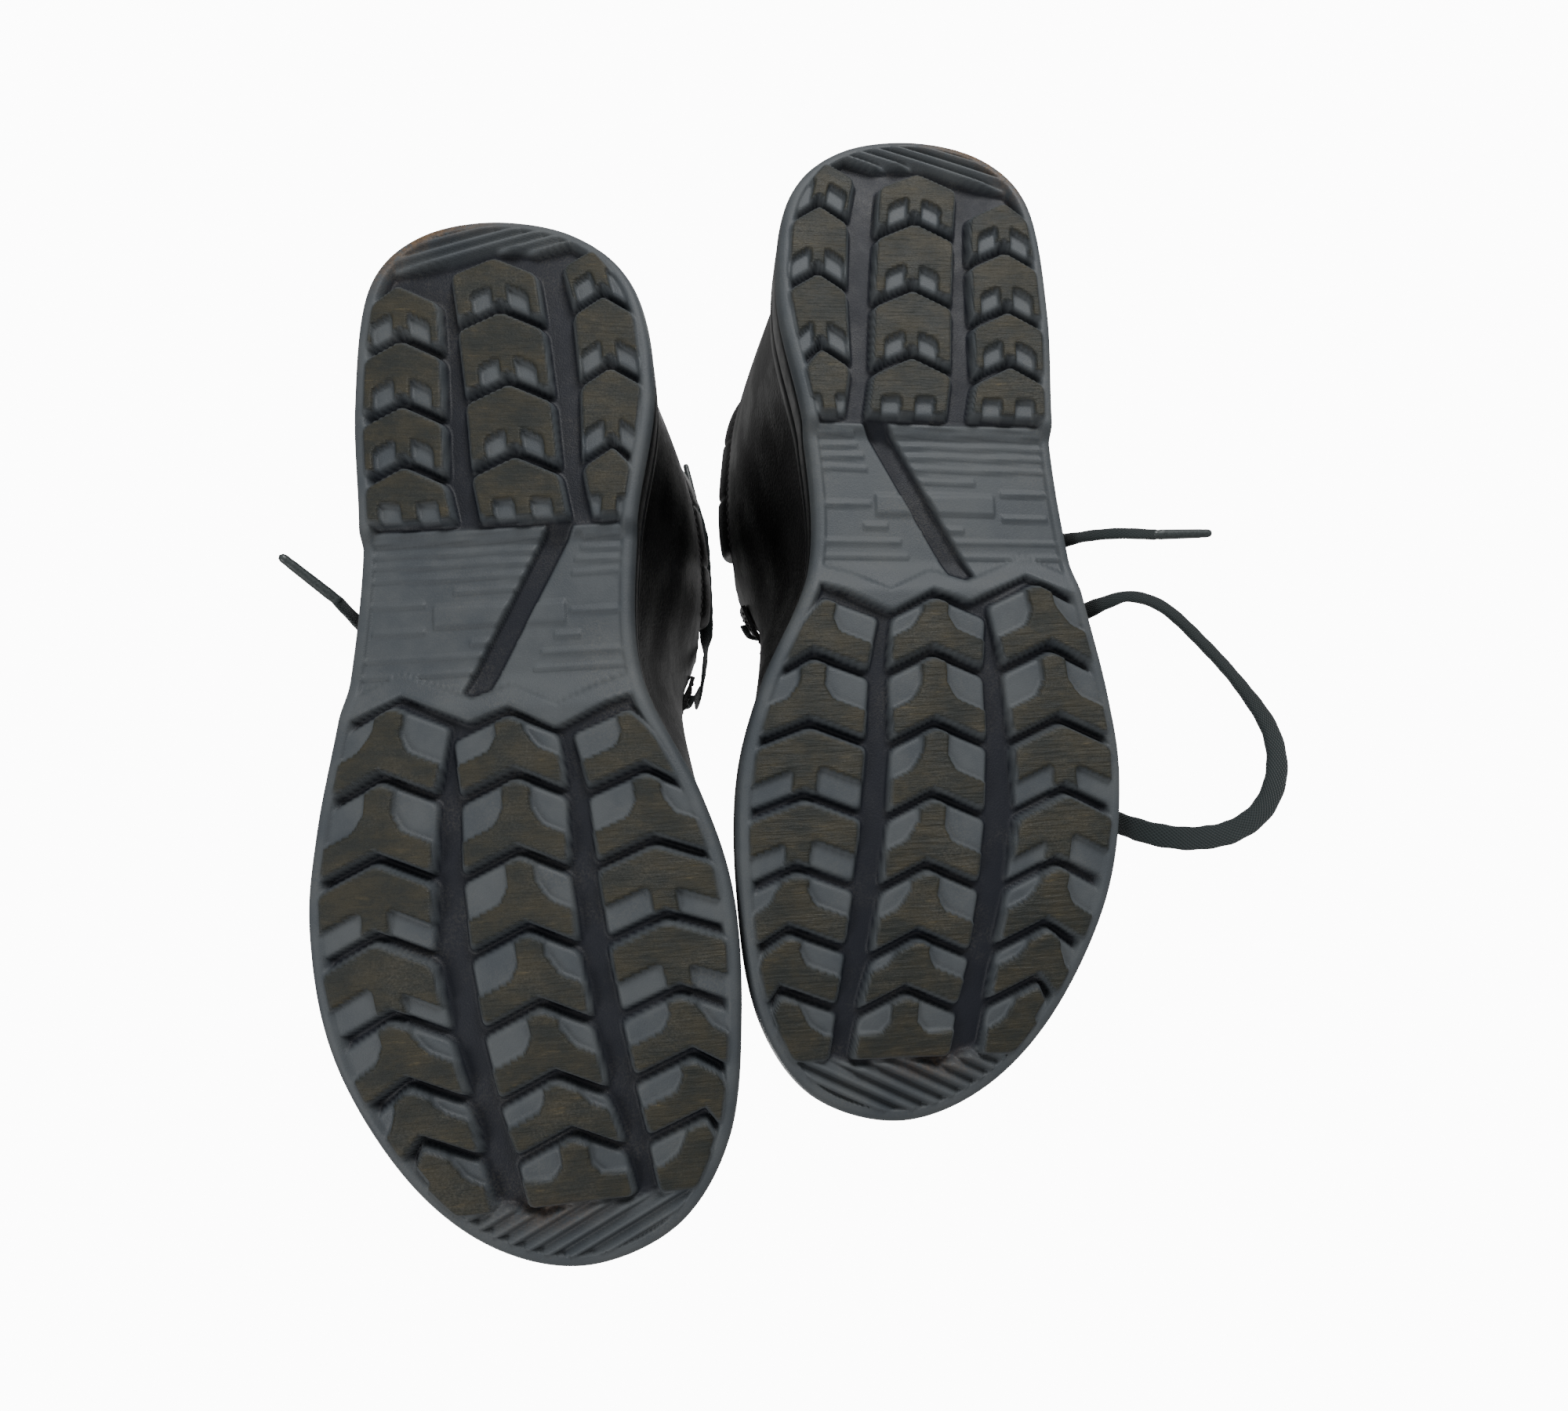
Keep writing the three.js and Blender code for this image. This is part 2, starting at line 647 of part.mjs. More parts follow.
// A flat lace along a path of points, lying square to the directions given with them.
function ribbon(points, faces, width = LACE_WIDTH, thickness = LACE_THICKNESS, section = FLAT_SECTION) {
  const last = points.length - 1;
  const rings = points.map((point, i) => {
    const ahead = points[Math.min(i + 1, last)].clone().sub(points[Math.max(i - 1, 0)]).normalize();
    const across = ahead.clone().cross(faces[i]).normalize();
    const face = across.clone().cross(ahead).normalize();
    return section.map(([x, y]) =>
      point.clone().addScaledVector(across, x * width).addScaledVector(face, y * thickness),
    );
  });
  return loft(rings);
}

const LACE_DEPTH = FACING_LIFT + OVERLAY + EYELET_HEIGHT + 3 * GAP + 1.5 * LACE_THICKNESS;
const eyeletTop = (side, row) => facingPoint(side, EYELET_STATIONS[row], LACE_DEPTH);
const eyeletNormal = (side, row) =>
  eyeletTop(side, row).sub(facingPoint(side, EYELET_STATIONS[row], 0)).normalize();

// One strand from eyelet to eyelet: it leaves each facing along its surface.
function strand(sideA, rowA, sideB, rowB) {
  const [a, b] = [eyeletTop(sideA, rowA), eyeletTop(sideB, rowB)];
  const pull = a.distanceTo(b) * LACE_PULL;
  const heading = (side, row) => facingHeading(side, EYELET_STATIONS[row]);
  const curve = new THREE.CubicBezierCurve3(
    a,
    a.clone().addScaledVector(heading(sideA, rowA), pull),
    b.clone().addScaledVector(heading(sideB, rowB), pull),
    b,
  );
  const [na, nb] = [eyeletNormal(sideA, rowA), eyeletNormal(sideB, rowB)];
  const ts = [0, 0.1, 0.28, 0.5, 0.72, 0.9, 1];
  return ribbon(ts.map((t) => curve.getPoint(t)), ts.map((t) => na.clone().lerp(nb, t)));
}

function lacing() {
  const rows = EYELET_STATIONS.length - 1;
  const crossings = steps(0, rows - 1, rows - 1).flatMap((row) => [
    strand("lateral", row, "medial", row + 1),
    strand("medial", row, "lateral", row + 1),
  ]);
  return joined([strand("lateral", 0, "medial", 0), ...crossings]);
}

// Free lace, from the eyelet it leaves to its end: [b, a, z, how far it stands up against the side].
const LACE_ROUTES = {
  left: {
    lace_end_lateral: [
      [-33.3, 133.6, 136.9, 1], [-35.2, 132.5, 126, 1], [-38.5, 130.5, 113, 1], [-41.5, 128.5, 98, 1],
      [-44.3, 126.5, 82, 1], [-46.4, 124.5, 66, 1], [-48, 122.5, 50, 1], [-49, 120.5, 35, 1],
      [-49.5, 118.3, 24, 1], [-50.6, 115.6, 16.5, 0.8], [-52.4, 112.4, 11.5, 0.6],
    ],
    lace_end_medial: [
      [50.4, 132.9, 136, 1], [51.6, 131.6, 129, 1], [53.3, 127.8, 124.8, 1], [54.6, 121.5, 126, 1],
      [55.4, 116, 133.5, 1], [56.2, 111.5, 143.5, 1], [56.9, 106, 152.5, 0.7], [57.4, 97, 156, 0.3],
      [57.8, 86, 154, 0.15], [58, 72, 151, 0.1], [58, 57, 149.8, 0.1], [57.2, 44, 149.8, 0.1],
      [55.8, 34, 149.8, 0.1],
    ],
  },
  right: {
    lace_bight: [
      [-30.5, 150, 118.8, 1], [-35.6, 151.8, 107, 1], [-41.8, 151, 89, 1], [-47.6, 151, 68, 1],
      [-50.8, 151.5, 48, 1], [-52.8, 152, 31, 1], [-54.2, 152.5, 16, 0.8], [-57.4, 151.6, 5.5, 0.4],
      [-64, 150.5, 1.4, 0], [-74.4, 154, 1.4, 0], [-86, 165, 1.4, 0], [-97, 178, 1.4, 0],
      [-105.5, 192, 1.4, 0],
      [-106.5, 205, 1.4, 0], [-101, 216, 1.4, 0], [-91, 222.5, 1.4, 0], [-79, 224.5, 1.4, 0],
      [-69, 223.5, 3.2, 0.2], [-63, 221, 10, 0.7], [-61, 218, 21, 1], [-59.3, 214, 34, 1],
      [-55.5, 208, 50, 0.9], [-49.3, 200.5, 65, 0.8], [-40.5, 192.5, 79.5, 0.7],
      [-30.5, 185.5, 90, 0.7], [-21.9, 180.9, 96.6, 0.7],
    ],
    lace_end: [
      [-33.3, 133.6, 136.9, 1], [-35.2, 132.5, 126, 1], [-38.5, 130.5, 113, 1], [-41.5, 128.5, 98, 1],
      [-44.3, 126.5, 82, 1], [-46.4, 124.8, 66, 1], [-48, 124.3, 50, 1], [-49, 125.3, 35, 1],
      [-49.8, 127, 22, 1], [-51.6, 128.8, 11.5, 0.8], [-56, 130, 4.2, 0.4], [-63, 130.3, 1.6, 0],
      [-73.5, 130.4, 2, 0],
    ],
  },
};

// Where the aglet on each free end points: [b, a, z] of its tip's direction.
const AGLET_HEADINGS = {
  left: { lace_end_lateral: [-0.62, -0.6, -0.5], lace_end_medial: [-0.16, -0.98, 0] },
  right: { lace_end: [-1, -0.04, 0] },
};

const CORD_SECTION = [
  [0.5, 0], [0.36, 0.36], [0, 0.5], [-0.36, 0.36],
  [-0.5, 0], [-0.36, -0.36], [0, -0.5], [0.36, -0.36],
];

const place = ([b, a, z]) => new THREE.Vector3(b, -a, z);

function freeLace(route) {
  const faces = route.map(([b, , , stand]) =>
    new THREE.Vector3(Math.sign(b) * stand, 0, 1 - stand).normalize(),
  );
  return ribbon(route.map(place), faces, LACE_WIDTH, LACE_THICKNESS, CORD_SECTION);
}

function aglet(route, heading) {
  const way = place(heading).normalize();
  const across = way.clone().cross(new THREE.Vector3(0, 0, 1)).normalize();
  const up = across.clone().cross(way);
  const start = place(route[route.length - 1]).addScaledVector(way, AGLET_GAP);
  const turns = steps(0, 2 * Math.PI, 8).slice(0, -1);
  const ring = (distance, radius) =>
    turns.map((angle) =>
      start
        .clone()
        .addScaledVector(way, distance)
        .addScaledVector(across, radius * Math.cos(angle))
        .addScaledVector(up, radius * Math.sin(angle)),
    );
  return loft([ring(0, AGLET_RADIUS), ring(AGLET_LENGTH, AGLET_RADIUS * 0.8)]);
}

function freeLaces(side) {
  const made = {};
  for (const [name, route] of Object.entries(LACE_ROUTES[side])) {
    made[name] = [freeLace(route), "lace"];
    const heading = AGLET_HEADINGS[side][name];
    if (heading) made[name.replace("lace_end", "aglet")] = [aglet(route, heading), "aglet"];
  }
  return made;
}

// ---------- pull loop ----------

const LOOP_WIDTH = 16;
const LOOP_THICKNESS = 1.6;
const LOOP_RISE = 20;

function pullLoop() {
  const outer = skin("medial", 0, 0.8, GAP + OVERLAY + GAP + LOOP_THICKNESS / 2 + 2.6);
  const inner = skin("medial", 0, 0.82, -LEATHER - GAP - LINING - LOOP_THICKNESS / 2 - 3.4);
  const top = topAt("medial", 0).z + LOOP_RISE;
  const bend = 6;
  const points = [
    outer,
    new THREE.Vector3(outer.x, outer.y, top - bend),
    new THREE.Vector3(outer.x, outer.y - bend * 0.5, top - bend * 0.3),
    new THREE.Vector3(outer.x, (outer.y + inner.y) / 2, top),
    new THREE.Vector3(outer.x, inner.y + bend * 0.5, top - bend * 0.3),
    new THREE.Vector3(outer.x, inner.y, top - bend),
    new THREE.Vector3(outer.x, inner.y, inner.z),
  ];
  const centre = new THREE.Vector3(outer.x, (outer.y + inner.y) / 2, top - 2 * bend);
  const faces = points.map((p) => p.clone().sub(centre).setX(0).normalize());
  return ribbon(points, faces, LOOP_WIDTH, LOOP_THICKNESS);
}

// ---------- materials ----------

const finish = (color, roughness, metalness = 0) =>
  new THREE.MeshStandardMaterial({ color, roughness, metalness });

const FINISHES = {
  tread: finish(0x3c4348, 0.6),
  midsole: finish(0x0e0f11, 0.4),
  leather: finish(0x101012, 0.5),
  textile: finish(0x17181a, 0.9),
  steel: finish(0x8a8d90, 0.4, 1),
  eyelet: finish(0x2a2b2d, 0.35, 0.8),
  board: finish(0xb9b29a, 0.9),
  lace: finish(0x20272a, 0.85),
  aglet: finish(0x20272a, 0.4),
};

// ---------- one boot ----------

function bootPieces() {
  const plateLift = 2 * GAP;
  const boardLift = plateLift + PLATE_THICKNESS + GAP;
  const footbedLift = boardLift + BOARD_THICKNESS + GAP;
  const liningSplit = FACING_START + 2 * SEAM;
  const leatherDepths = [-LEATHER, 0];
  const liningDepths = [-LEATHER - 2 * GAP - LINING, -LEATHER - 2 * GAP];
  const capDepths = [-LEATHER - CAP_GAP - CAP_STEEL, -LEATHER - CAP_GAP];
  const innerDepths = [capDepths[0] - CAP_GAP - CAP_LINING, capDepths[0] - CAP_GAP];
  const midsole = {
    inset: MIDSOLE_INSET,
    low: (a) => outsoleTop(a) + 2 * GAP,
    high: (a) => feather(a),
  };
  return {
    outsole: [outsole(), "tread"],
    midsole: [soleLayer(midsole), "midsole"],
    puncture_plate: [underfoot(plateLift, PLATE_THICKNESS), "board"],
    insole_board: [underfoot(boardLift, BOARD_THICKNESS), "board"],
    footbed: [underfoot(footbedLift, FOOTBED_THICKNESS, BOARD_INSET + 1), "textile"],
    vamp: [vampPanel(leatherDepths), "leather"],
    quarter_lateral: [sidePanel("lateral", COUNTER_END + SEAM, LEVELS, leatherDepths), "leather"],
    quarter_medial: [sidePanel("medial", COUNTER_END + SEAM, LEVELS, leatherDepths), "leather"],
    heel_counter: [heelPanel(COUNTER_END, LEVELS, leatherDepths), "leather"],
    backstay: [heelPanel(0.42, BACKSTAY_LEVELS, [GAP, GAP + OVERLAY]), "leather"],
    collar: [collar(), "textile"],
    heel_lining: [heelPanel(FACING_START, LEVELS, liningDepths), "textile"],
    front_lining_lateral: [sidePanel("lateral", liningSplit, LEVELS, liningDepths, 2 * SEAM), "textile"],
    front_lining_medial: [sidePanel("medial", liningSplit, LEVELS, liningDepths, 2 * SEAM), "textile"],
    toe_lining: [vampPanel(innerDepths, 2 * SEAM), "textile"],
    steel_toe_cap: [layer(toeRows(CAP_BACK, TOE), capDepths, true), "steel"],
    cap_edge_strip: [layer(toeRows(CAP_BACK - PITCH, CAP_BACK - SEAM), capDepths), "textile"],
    eyelet_facing_lateral: [eyeletFacing("lateral"), "eyelet"],
    eyelet_facing_medial: [eyeletFacing("medial"), "eyelet"],
    tongue: [tongue(), "textile"],
    lacing: [lacing(), "lace"],
    pull_loop: [pullLoop(), "textile"],
  };
}

// Mirrors a geometry in x, with its faces turned so that they still point outwards.
function mirrored(geometry) {
  const copy = geometry.clone().scale(-1, 1, 1);
  const flipped = [];
  for (let i = 0; i < copy.index.count; i += 3) {
    flipped.push(copy.index.getX(i), copy.index.getX(i + 2), copy.index.getX(i + 1));
  }
  copy.setIndex(flipped);
  return copy;
}

function boot(side, pieces, x, y, turn) {
  const group = new THREE.Group();
  for (const [name, [geometry, slot]] of Object.entries(pieces)) {
    const shape = side === "left" ? mirrored(geometry) : geometry;
    const mesh = new THREE.Mesh(shape, FINISHES[slot]);
    mesh.name = `${side}_${name}`;
    group.add(mesh);
  }
  group.position.set(x, y, 0);
  group.rotation.z = turn;
  return group;
}

const pair = new THREE.Group();
const pieces = bootPieces();
pair.add(boot("left", { ...pieces, ...freeLaces("left") }, HALF_SPACING, HEEL_Y, -TOE_IN));
pair.add(boot("right", { ...pieces, ...freeLaces("right") }, -HALF_SPACING, HEEL_Y + SETBACK, TOE_IN));

export default pair;
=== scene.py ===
"""A pair of laced safety boots with steel toe caps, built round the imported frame.

Shapes are worked out in one boot's own frame, in millimetres: x is towards the medial side, y is
minus the distance a from a line 5 mm in front of the heel tip, z is up. A place on the sole is [b, a],
b being the same as x. A place on the upper is a flank, a station from the heel centre (0) to the toe
centre (11), and a level v from the sole (0) to the top line (1). in_row() turns such points into the
row frame, in metres. The left boot is the mirror image.
"""

import math

import bpy
import numpy as np
from mathutils import Matrix


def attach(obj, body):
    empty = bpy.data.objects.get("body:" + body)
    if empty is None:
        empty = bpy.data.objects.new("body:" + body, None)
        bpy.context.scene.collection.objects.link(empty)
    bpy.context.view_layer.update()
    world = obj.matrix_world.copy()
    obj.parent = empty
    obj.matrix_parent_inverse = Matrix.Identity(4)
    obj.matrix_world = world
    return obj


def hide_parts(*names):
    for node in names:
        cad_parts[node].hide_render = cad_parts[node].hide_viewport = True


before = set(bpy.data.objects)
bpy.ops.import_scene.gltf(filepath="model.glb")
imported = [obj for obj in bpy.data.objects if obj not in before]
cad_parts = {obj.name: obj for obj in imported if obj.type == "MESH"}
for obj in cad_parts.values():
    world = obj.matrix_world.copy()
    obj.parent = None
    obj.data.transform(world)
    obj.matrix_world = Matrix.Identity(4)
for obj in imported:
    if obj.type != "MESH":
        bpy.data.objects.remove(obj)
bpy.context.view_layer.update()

MM = 0.001
SIDES = ("left", "right")
FLANKS = ("lateral", "medial")

# x and y of the boot's origin; turn in degrees; -1 for the mirrored boot
STANCE = {"left": (65.3, 134.0, -1.8, -1), "right": (-65.3, 165.5, 1.8, 1)}


def in_row(side, points):
    """Mirror x for the left boot, turn about z by its toe-in, shift to its origin, and go to metres."""
    x0, y0, turn, hand = STANCE[side]
    c, s = math.cos(math.radians(turn)), math.sin(math.radians(turn))
    points = np.asarray(points, float)
    x, y = hand * points[..., 0], points[..., 1]
    return np.stack([x0 + c * x - s * y, y0 + s * x + c * y, points[..., 2]], -1) * MM


# ---------------------------------------------------------------- camera, world and lights

EYE = (8.65, -48.45, -245.3)
LOOK = (-7.237, -5.546, 1.962)
FOCAL = 1092.3 / 2000  # of the picture width
SENSOR = 36.0
FILL_LIGHT = 0.42
SEEN_WHITE = 12.0
FLOOR_HALF = 3.0
FLOOR_LEVEL = -0.0003


def turned(degrees):
    """Rotation about x, times rotation about y, times rotation about z."""
    x, y, z = (math.radians(d) for d in degrees)
    return Matrix.Rotation(x, 3, "X") @ Matrix.Rotation(y, 3, "Y") @ Matrix.Rotation(z, 3, "Z")


def camera_below():
    """A camera under the floor that looks up, with its picture's up along +y and its right along -x."""
    data = bpy.data.cameras.new("camera_below")
    data.sensor_width = SENSOR
    data.lens = FOCAL * SENSOR
    data.clip_start = 0.01
    camera = bpy.data.objects.new("camera_below", data)
    bpy.context.scene.collection.objects.link(camera)
    axes = turned(LOOK)
    right, up, back = -axes.col[0], axes.col[1], -axes.col[2]
    stand = Matrix((right, up, back)).transposed().to_4x4()
    stand.translation = [v * MM for v in EYE]
    camera.matrix_world = stand
    bpy.context.scene.camera = camera


def area_light(name, at, towards, size, power):
    data = bpy.data.lights.new(name, "AREA")
    data.shape = "DISK"
    data.size = size
    data.energy = power
    light = bpy.data.objects.new(name, data)
    bpy.context.scene.collection.objects.link(light)
    way = Matrix.Translation(at).translation - Matrix.Translation(towards).translation
    light.matrix_world = Matrix.Translation(at) @ way.to_track_quat("Z", "Y").to_matrix().to_4x4()


def studio():
    """White surroundings, soft lights above and below, and a pale floor that is clear from below."""
    world = bpy.data.worlds.new("white_surroundings")
    world.use_nodes = True
    background = world.node_tree.nodes["Background"]
    background.inputs["Color"].default_value = (1, 1, 1, 1)
    background.inputs["Strength"].default_value = FILL_LIGHT
    seen = world.node_tree.nodes.new("ShaderNodeBackground")
    seen.inputs["Color"].default_value = (1, 1, 1, 1)
    seen.inputs["Strength"].default_value = SEEN_WHITE
    path = world.node_tree.nodes.new("ShaderNodeLightPath")
    either = world.node_tree.nodes.new("ShaderNodeMixShader")
    links = world.node_tree.links
    links.new(path.outputs["Is Camera Ray"], either.inputs[0])
    links.new(background.outputs[0], either.inputs[1])
    links.new(seen.outputs[0], either.inputs[2])
    links.new(either.outputs[0], world.node_tree.nodes["World Output"].inputs["Surface"])
    bpy.context.scene.world = world
    area_light("soft_below_heels", (-0.25, 0.75, -0.7), (0, 0.05, 0.02), 0.5, 9)
    area_light("soft_below_toes", (0.6, -0.5, -0.55), (0, -0.05, 0.02), 0.4, 3)
    area_light("soft_above", (0.7, -0.9, 1.3), (0, 0, 0.05), 0.8, 16)
    area_light("soft_back", (-0.8, 1.0, 1.1), (0, 0, 0.1), 1.0, 5)
    mesh = bpy.data.meshes.new("studio_floor")
    corners = [(x * FLOOR_HALF, y * FLOOR_HALF, FLOOR_LEVEL) for x, y in ((-1, -1), (1, -1), (1, 1), (-1, 1))]
    mesh.from_pydata(corners, [], [(0, 1, 2, 3)])
    floor = bpy.data.objects.new("studio_floor", mesh)
    bpy.context.scene.collection.objects.link(floor)
    for ray in ("shadow", "diffuse", "glossy", "transmission"):
        setattr(floor, "visible_" + ray, False)
    paint = bpy.data.materials.new("pale_floor")
    paint.use_nodes = True
    nodes, links = paint.node_tree.nodes, paint.node_tree.links
    shader = nodes["Principled BSDF"]
    shader.inputs["Base Color"].default_value = (0.95, 0.95, 0.945, 1)
    shader.inputs["Roughness"].default_value = 0.8
    clear = nodes.new("ShaderNodeBsdfTransparent")
    seen_from = nodes.new("ShaderNodeNewGeometry")
    either = nodes.new("ShaderNodeMixShader")
    links.new(seen_from.outputs["Backfacing"], either.inputs[0])
    links.new(shader.outputs[0], either.inputs[1])
    links.new(clear.outputs[0], either.inputs[2])
    links.new(either.outputs[0], nodes["Material Output"].inputs["Surface"])
    mesh.materials.append(paint)


camera_below()
studio()

# ---------------------------------------------------------------- shader node groups and materials


class Weaver:
    """Short words for adding nodes to one tree."""

    def __init__(self, tree):
        self.tree = tree

    def add(self, kind, **settings):
        node = self.tree.nodes.new("ShaderNode" + kind)
        for key, value in settings.items():
            setattr(node, key, value)
        return node

    def link(self, source, target):
        if hasattr(source, "outputs"):
            source = source.outputs[0]
        self.tree.links.new(source, target)

    def feed(self, node, **inputs):
        for key, value in inputs.items():
            numbered = key[0] == "n" and key[1:].isdigit()
            socket = node.inputs[int(key[1:]) if numbered else key.replace("_", " ")]
            if isinstance(value, (int, float, tuple)):
                socket.default_value = value
            else:
                self.link(value, socket)
        return node

    def here(self):
        """Place in the object's own space."""
        return self.add("TexCoord").outputs["Object"]

    def math(self, operation, first, second=0.0, third=0.0):
        return self.feed(self.add("Math", operation=operation), n0=first, n1=second, n2=third)

    def ramp(self, value, low, high, out_low=0.0, out_high=1.0):
        """Smooth step from low to high, from out_low to out_high."""
        node = self.add("MapRange", interpolation_type="SMOOTHSTEP")
        return self.feed(node, n0=value, n1=low, n2=high, n3=out_low, n4=out_high)

    def blend(self, share, first, second):
        node = self.add("Mix", data_type="RGBA")
        self.feed(node, n0=share, n6=first, n7=second)
        return node.outputs[2]

    def noise(self, at, scale, detail=4.0, roughness=0.55):
        return self.feed(self.add("TexNoise"), Vector=at, Scale=scale, Detail=detail, Roughness=roughness)

    def stretched(self, at, scale):
        return self.feed(self.add("VectorMath", operation="MULTIPLY"), n0=at, n1=scale)


def node_group(name, inputs, outputs):
    """An empty shader group: inputs and outputs are lists of (name, socket kind, default)."""
    tree = bpy.data.node_groups.new(name, "ShaderNodeTree")
    for direction, sockets in (("INPUT", inputs), ("OUTPUT", outputs)):
        for label, kind, default in sockets:
            socket = tree.interface.new_socket(label, in_out=direction, socket_type="NodeSocket" + kind)
            if default is not None:
                socket.default_value = default
    weaver = Weaver(tree)
    ends = tree.nodes.new("NodeGroupInput"), tree.nodes.new("NodeGroupOutput")
    return tree, weaver, ends


def dust_group():
    """Grey-brown dust in broad clouds, and its share: noise of two sizes, multiplied and stepped."""
    tree, w, (into, out) = node_group(
        "boot_dust",
        [("Color", "Color", (0, 0, 0, 1)), ("Amount", "Float", 0.3), ("Scale", "Float", 30.0)],
        [("Color", "Color", None), ("Share", "Float", None)],
    )
    at = w.here()
    broad = w.noise(at, into.outputs["Scale"], 5.0, 0.65)
    fine = w.noise(at, 1400.0, 3.0, 0.7)
    speck = w.math("MULTIPLY", w.ramp(broad, 0.42, 0.72), w.ramp(fine, 0.35, 0.75))
    share = w.math("MULTIPLY", speck, into.outputs["Amount"])
    w.link(w.blend(share.outputs[0], into.outputs["Color"], (0.20, 0.185, 0.15, 1)), out.inputs["Color"])
    w.link(share, out.inputs["Share"])
    return tree


def grain_group():
    """Height of a pebbled hide: cells of two sizes with soft creases, over slow swells."""
    tree, w, (into, out) = node_group(
        "hide_grain",
        [("Scale", "Float", 900.0), ("Creases", "Float", 0.4)],
        [("Height", "Float", None), ("Tone", "Float", None)],
    )
    at = w.here()
    bent = w.feed(w.add("VectorMath", operation="MULTIPLY_ADD"), n0=w.noise(at, 240.0).outputs["Color"],
                  n1=(0.0015, 0.0015, 0.0015), n2=at)
    cells = w.feed(w.add("TexVoronoi", feature="SMOOTH_F1"), Vector=bent, Scale=into.outputs["Scale"])
    small = w.feed(w.add("TexVoronoi", feature="F1"), Vector=bent, Scale=1900.0)
    crease = w.ramp(w.noise(w.stretched(at, (1.0, 0.35, 1.0)), 75.0, 6.0, 0.6), 0.48, 0.52)
    fine = w.math("MULTIPLY_ADD", small.outputs["Distance"], 0.35, cells.outputs["Distance"])
    height = w.math("MULTIPLY_ADD", crease, into.outputs["Creases"], fine)
    w.link(height, out.inputs["Height"])
    w.link(w.ramp(w.noise(at, 45.0, 5.0), 0.3, 0.7), out.inputs["Tone"])
    return tree


def weave_group():
    """Height of a plain weave, and a tone from it that paints shade into the hollows: sines along and across
    the piece's own 'lie' attribute.
    """
    tree, w, (into, out) = node_group(
        "cross_weave",
        [("Along", "Float", 1.1), ("Across", "Float", 1.1)],
        [("Height", "Float", None), ("Tone", "Float", None)],
    )
    lie = w.feed(w.add("SeparateXYZ"), Vector=w.add("Attribute", attribute_name="lie").outputs["Vector"])
    ripples = [
        w.math("SINE", w.math("MULTIPLY", lie.outputs[i], w.math("DIVIDE", 2 * math.pi, into.outputs[i])))
        for i in (0, 1)
    ]
    height = w.math("MULTIPLY_ADD", w.math("MULTIPLY", *ripples), 0.5, 0.5)
    w.link(height, out.inputs["Height"])
    # painted shade: the tone follows the height, darkest in the hollows between the threads
    w.link(w.ramp(height, 0.15, 0.8, 0.55, 1.0), out.inputs["Tone"])
    return tree


DUST = dust_group()
GRAIN = grain_group()
WEAVE = weave_group()


def material(name, roughness, metallic=0.0, coat=0.0, sheen=0.0, specular=0.5):
    """A Principled material: its tree, its shader and a Weaver."""
    made = bpy.data.materials.new(name)
    made.use_nodes = True
    shader = made.node_tree.nodes["Principled BSDF"]
    w = Weaver(made.node_tree)
    values = {"Roughness": roughness, "Metallic": metallic, "Coat Weight": coat, "Coat Roughness": 0.2,
              "Sheen Weight": sheen, "Sheen Roughness": 0.5, "Specular IOR Level": specular}
    for key, value in values.items():
        shader.inputs[key].default_value = value
    return made, shader, w


def use(w, group, **inputs):
    node = w.add("Group", node_tree=group)
    return w.feed(node, **inputs)


def bump(w, shader, height, distance, strength=1.0):
    node = w.feed(w.add("Bump"), Height=height, Distance=distance, Strength=strength)
    w.link(node, shader.inputs["Normal"])


def tread_rubber():
    """Blue-grey rubber: worn olive-brown lug faces with fine ripples across, and painted shade in the
    grooves.
    """
    made, shader, w = material("tread_rubber", 0.55, specular=0.3)
    at = w.here()
    # the tread attribute holds the worn-face share, the painted groove shade share and the mud share
    face = w.feed(w.add("SeparateXYZ"), Vector=w.add("Attribute", attribute_name="tread").outputs["Vector"])
    pad, groove, mud = (face.outputs[i] for i in range(3))
    clouds = w.noise(at, 55.0, 6.0, 0.6)
    streaks = w.noise(w.stretched(at, (0.22, 1.6, 1.0)), 480.0, 6.0, 0.62)
    patches = w.noise(w.stretched(at, (0.6, 1.0, 1.0)), 120.0, 5.0, 0.7)
    base = w.blend(w.ramp(clouds, 0.3, 0.7), (0.058, 0.067, 0.076, 1), (0.084, 0.093, 0.099, 1))
    # painted shade: the groove share darkens the rubber towards near black on the groove floors
    deep = w.blend(groove, base, (0.0105, 0.0125, 0.019, 1))
    worn = w.blend(w.ramp(patches, 0.35, 0.68), (0.019, 0.022, 0.0195, 1), (0.041, 0.037, 0.024, 1))
    ochre = w.math("MULTIPLY", w.ramp(streaks, 0.56, 0.72), w.ramp(patches, 0.45, 0.75))
    worn = w.blend(w.math("MULTIPLY", ochre, 0.5).outputs[0], worn, (0.20, 0.155, 0.075, 1))
    coloured = w.blend(pad, deep, worn)
    grit = w.ramp(w.noise(at, 900.0, 4.0), 0.3, 0.7)
    earth = w.blend(grit, (0.060, 0.034, 0.016, 1), (0.19, 0.11, 0.05, 1))
    crumbs = w.math("MULTIPLY", mud, w.ramp(w.noise(at, 260.0, 5.0, 0.7), 0.36, 0.52))
    coloured = w.blend(crumbs.outputs[0], coloured, earth)
    dusty = use(w, DUST, Color=coloured, Amount=0.2, Scale=42.0)
    w.link(dusty.outputs["Color"], shader.inputs["Base Color"])
    w.link(w.ramp(clouds, 0.3, 0.7, 0.46, 0.62), shader.inputs["Roughness"])
    ripple = w.math("MULTIPLY", w.noise(w.stretched(at, (0.16, 1.5, 1.0)), 620.0, 5.0, 0.6), pad)
    pores = w.noise(at, 2600.0, 2.0)
    bump(w, shader, w.math("MULTIPLY_ADD", pores, 0.16, ripple), 0.0009, 0.8)
    return made


